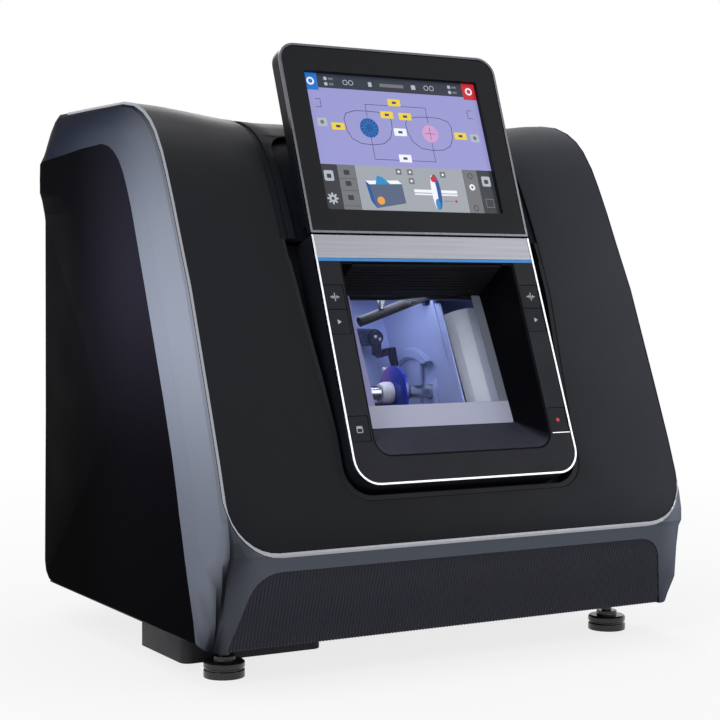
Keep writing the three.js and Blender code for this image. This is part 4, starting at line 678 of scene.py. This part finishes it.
# Frosted border on the door pane, in mm from the pane's foot, each part with its own painted glow of the
# chamber's light: brightest on the left part, dimmest on the right
PANE_HALF, PANE_FOOT, BORDER_TOP, PANE_TOP = 87.4, 0.6, 23.5, 139.2
LEFT_BORDER, RIGHT_BORDER = -66, 76
frost = Art("border", door_place, 0.0, "door", lift=0.0, thick=0.10)
frost.solid("frost", rounded(-PANE_HALF, PANE_HALF, PANE_FOOT, BORDER_TOP), 1)
frost.solid("frost_left", rounded(-PANE_HALF, LEFT_BORDER, BORDER_TOP, PANE_TOP), 1)
frost.solid("frost_right", rounded(RIGHT_BORDER, PANE_HALF, BORDER_TOP, PANE_TOP), 1)
frost.done()


# Inside the grinding chamber -----------------------------------------------
TURNED_STEPS = 48
PEG_ROUNDNESS = 4


def peg(name, start, end, radius, body, material):
    """A round bar between two places in mm."""
    curve = bpy.data.curves.new(name, "CURVE")
    curve.dimensions = "3D"
    curve.bevel_depth = radius * MM
    curve.bevel_resolution = PEG_ROUNDNESS
    curve.use_fill_caps = True
    line = curve.splines.new("POLY")
    line.points.add(1)
    for point, place in zip(line.points, (start, end)):
        point.co = (*(Vector(place) * MM), 1)
    ride(add_object(name, curve), body, material)


def turned(name, profile, y, z, body, material):
    """A solid turned about an axis along X, from (place, radius) pairs in mm."""
    bm = bmesh.new()
    rings = []
    for x, radius in profile:
        places = [(x, y + radius * math.cos(t), z + radius * math.sin(t)) for t in ring_turns(TURNED_STEPS)]
        rings.append([bm.verts.new(Vector(place) * MM) for place in places])
    for near, far in zip(rings, rings[1:] + rings[:1]):
        ring_faces(bm, near, far)
    bmesh.ops.recalc_face_normals(bm, faces=bm.faces)
    piece = add_object(name, mesh_of(name, bm))
    smooth(piece)
    ride(piece, body, material)


def slab(name, x0, x1, outline, body, material):
    """A plate from x0 to x1 whose side is the (y, z) outline, all in mm."""
    bm = bmesh.new()
    near, far = ([bm.verts.new(Vector((x, y, z)) * MM) for y, z in outline] for x in (x0, x1))
    bm.faces.new(near)
    bm.faces.new(far)
    ring_faces(bm, near, far)
    bmesh.ops.recalc_face_normals(bm, faces=bm.faces)
    ride(add_object(name, mesh_of(name, bm)), body, material)


# Splash shield on the clamp shaft
LENS_Y, LENS_Z = -84.947, 246.996
SHIELD_X0, SHIELD_X1, SHIELD_BORE, SHIELD_RADIUS = 43, 44, 7.6, 34
shield = [
    (SHIELD_X0, SHIELD_BORE), (SHIELD_X0, SHIELD_RADIUS), (SHIELD_X1, SHIELD_RADIUS), (SHIELD_X1, SHIELD_BORE),
]
turned("shaft_shield", shield, LENS_Y, LENS_Z, "carriage", "tub")

# Front lip of the ringed wall: it laps the wall's edge and stands out towards the door
WALL_FOOT, WALL_HEAD = (-147.4, 236), (-101.1, 336)
LIP_X0, LIP_X1, LIP_LAP, LIP_REACH = 37.9, 39.4, 0.6, 8.5
lip = [(y + LIP_LAP, z) for y, z in (WALL_FOOT, WALL_HEAD)]
lip += [(y - LIP_REACH, z) for y, z in (WALL_HEAD, WALL_FOOT)]
slab("clamp_wall_lip", LIP_X0, LIP_X1, lip, "casing", "tub")

# Clip that holds the nozzle to the chamber's ceiling
CLIP_X, CLIP_Y = -16, -86.5
for name, low, high, radius in (("nozzle_clip", 331, 348.8, 3.0), ("nozzle_clip_collar", 336, 341, 4.6)):
    peg(name, (CLIP_X, CLIP_Y, low), (CLIP_X, CLIP_Y, high), radius, "casing", "line")

# Two screw heads on the feeler's pivot
SCREW_FRONT, SCREW_BACK, SCREW_RADIUS = -52.7, -51.9, 1.7
for name, x, z in (("feeler_screw_left", -2.6, 302.4), ("feeler_screw_right", 2.6, 299.6)):
    peg(name, (x, SCREW_FRONT, z), (x, SCREW_BACK, z), SCREW_RADIUS, "feeler", "line")


# Room, lamps and camera ----------------------------------------------------
def seen_white(tree, plain, share):
    """White of strength 1 over a plain shader, in the rays that look at it directly."""
    path = add_node(tree, "ShaderNodeLightPath")
    fac = path.outputs["Is Camera Ray"]
    for ray in ("Is Glossy Ray", "Is Transmission Ray"):
        either = add_node(tree, "ShaderNodeMath", operation="MAXIMUM")
        tree.links.new(fac, either.inputs[0])
        tree.links.new(path.outputs[ray], either.inputs[1])
        fac = either.outputs[0]
    if share is not None:
        part = add_node(tree, "ShaderNodeMath", operation="MULTIPLY")
        tree.links.new(fac, part.inputs[0])
        tree.links.new(share, part.inputs[1])
        fac = part.outputs[0]
    white = add_node(tree, "ShaderNodeEmission", Strength=1.0)
    mix = add_node(tree, "ShaderNodeMixShader")
    tree.links.new(fac, mix.inputs["Fac"])
    tree.links.new(plain, mix.inputs[1])
    tree.links.new(white.outputs["Emission"], mix.inputs[2])
    return mix.outputs["Shader"]


# Floor: pale near the machine, where it holds the shadow, and white further out; sizes in metres
FLOOR_HALF, FLOOR_CELLS = 15, 8
FADE_START, FADE_END, NEAR_SHARE = 0.45, 1.6, 0.80
bm = bmesh.new()
bmesh.ops.create_grid(bm, x_segments=FLOOR_CELLS, y_segments=FLOOR_CELLS, size=FLOOR_HALF)
floor = add_object("floor", mesh_of("floor", bm))
pale = Shader("pale_floor", (0.80, 0.80, 0.82), 0.7, Specular_IOR_Level=0.1).mottle(3, 0.01)
spread = pale.node("ShaderNodeVectorMath", operation="LENGTH")
pale.link(pale.place(), spread.inputs[0])
share = pale.ramp(spread.outputs["Value"], NEAR_SHARE, 1.0, FADE_START, FADE_END)
seen = seen_white(pale.tree, pale.bsdf.outputs["BSDF"], share)
pale.link(seen, pale.tree.nodes["Material Output"].inputs["Surface"])
floor.data.materials.append(pale.mat)

world = bpy.data.worlds.new("studio")
bpy.context.scene.world = world
world.use_nodes = True
tree = world.node_tree
tree.nodes.clear()
out = add_node(tree, "ShaderNodeOutputWorld")
soft = add_node(tree, "ShaderNodeBackground", Color=(0.95, 0.96, 1.0, 1), Strength=0.45)
tree.links.new(seen_white(tree, soft.outputs["Background"], None), out.inputs["Surface"])

# Each lamp's place, target and size in metres, its watts and its colour
MIDDLE = (0, 0, 0.3)
LAMPS = {
    "key_left": ((-2.2, -1.4, 1.9), MIDDLE, (0.9, 1.5), 26, EVEN),
    "fill_right": ((2.0, -2.2, 1.5), MIDDLE, (1.8, 1.8), 16, EVEN),
    "top": ((0, 0.1, 2.6), MIDDLE, (2.2, 1.6), 24, EVEN),
    "back": ((0.6, 2.4, 1.8), MIDDLE, (1.6, 1.2), 14, EVEN),
    "chamber_glow": ((-0.02, -0.075, 0.343), (-0.01, -0.06, 0.2), (0.11, 0.04), 0.11, (0.88, 0.92, 1.0)),
}
for name, (place, target, size, watts, color) in LAMPS.items():
    light = bpy.data.lights.new(name, "AREA")
    light.shape = "RECTANGLE"
    light.size, light.size_y = size
    light.energy = watts
    light.color = color
    lamp = add_object(name, light)
    lamp.location = place
    lamp.rotation_euler = (Vector(target) - Vector(place)).to_track_quat("-Z", "Y").to_euler()

# The camera of the photograph: level, with the picture shifted down in its own plane
IMAGE_SIDE, SHIFT_PIXELS = 720, -68.5
CAMERA_PLACE, CAMERA_TURN = (-0.8736, -1.5381, 0.3484), -29.86
view = bpy.data.cameras.new("photo_camera")
view.sensor_width = 36
view.lens = 84.5
view.shift_y = SHIFT_PIXELS / IMAGE_SIDE
camera = add_object("photo_camera", view)
camera.location = CAMERA_PLACE
camera.rotation_euler = (math.radians(90), 0, math.radians(CAMERA_TURN))
bpy.context.scene.camera = camera
bpy.context.scene.view_settings.view_transform = "Standard"
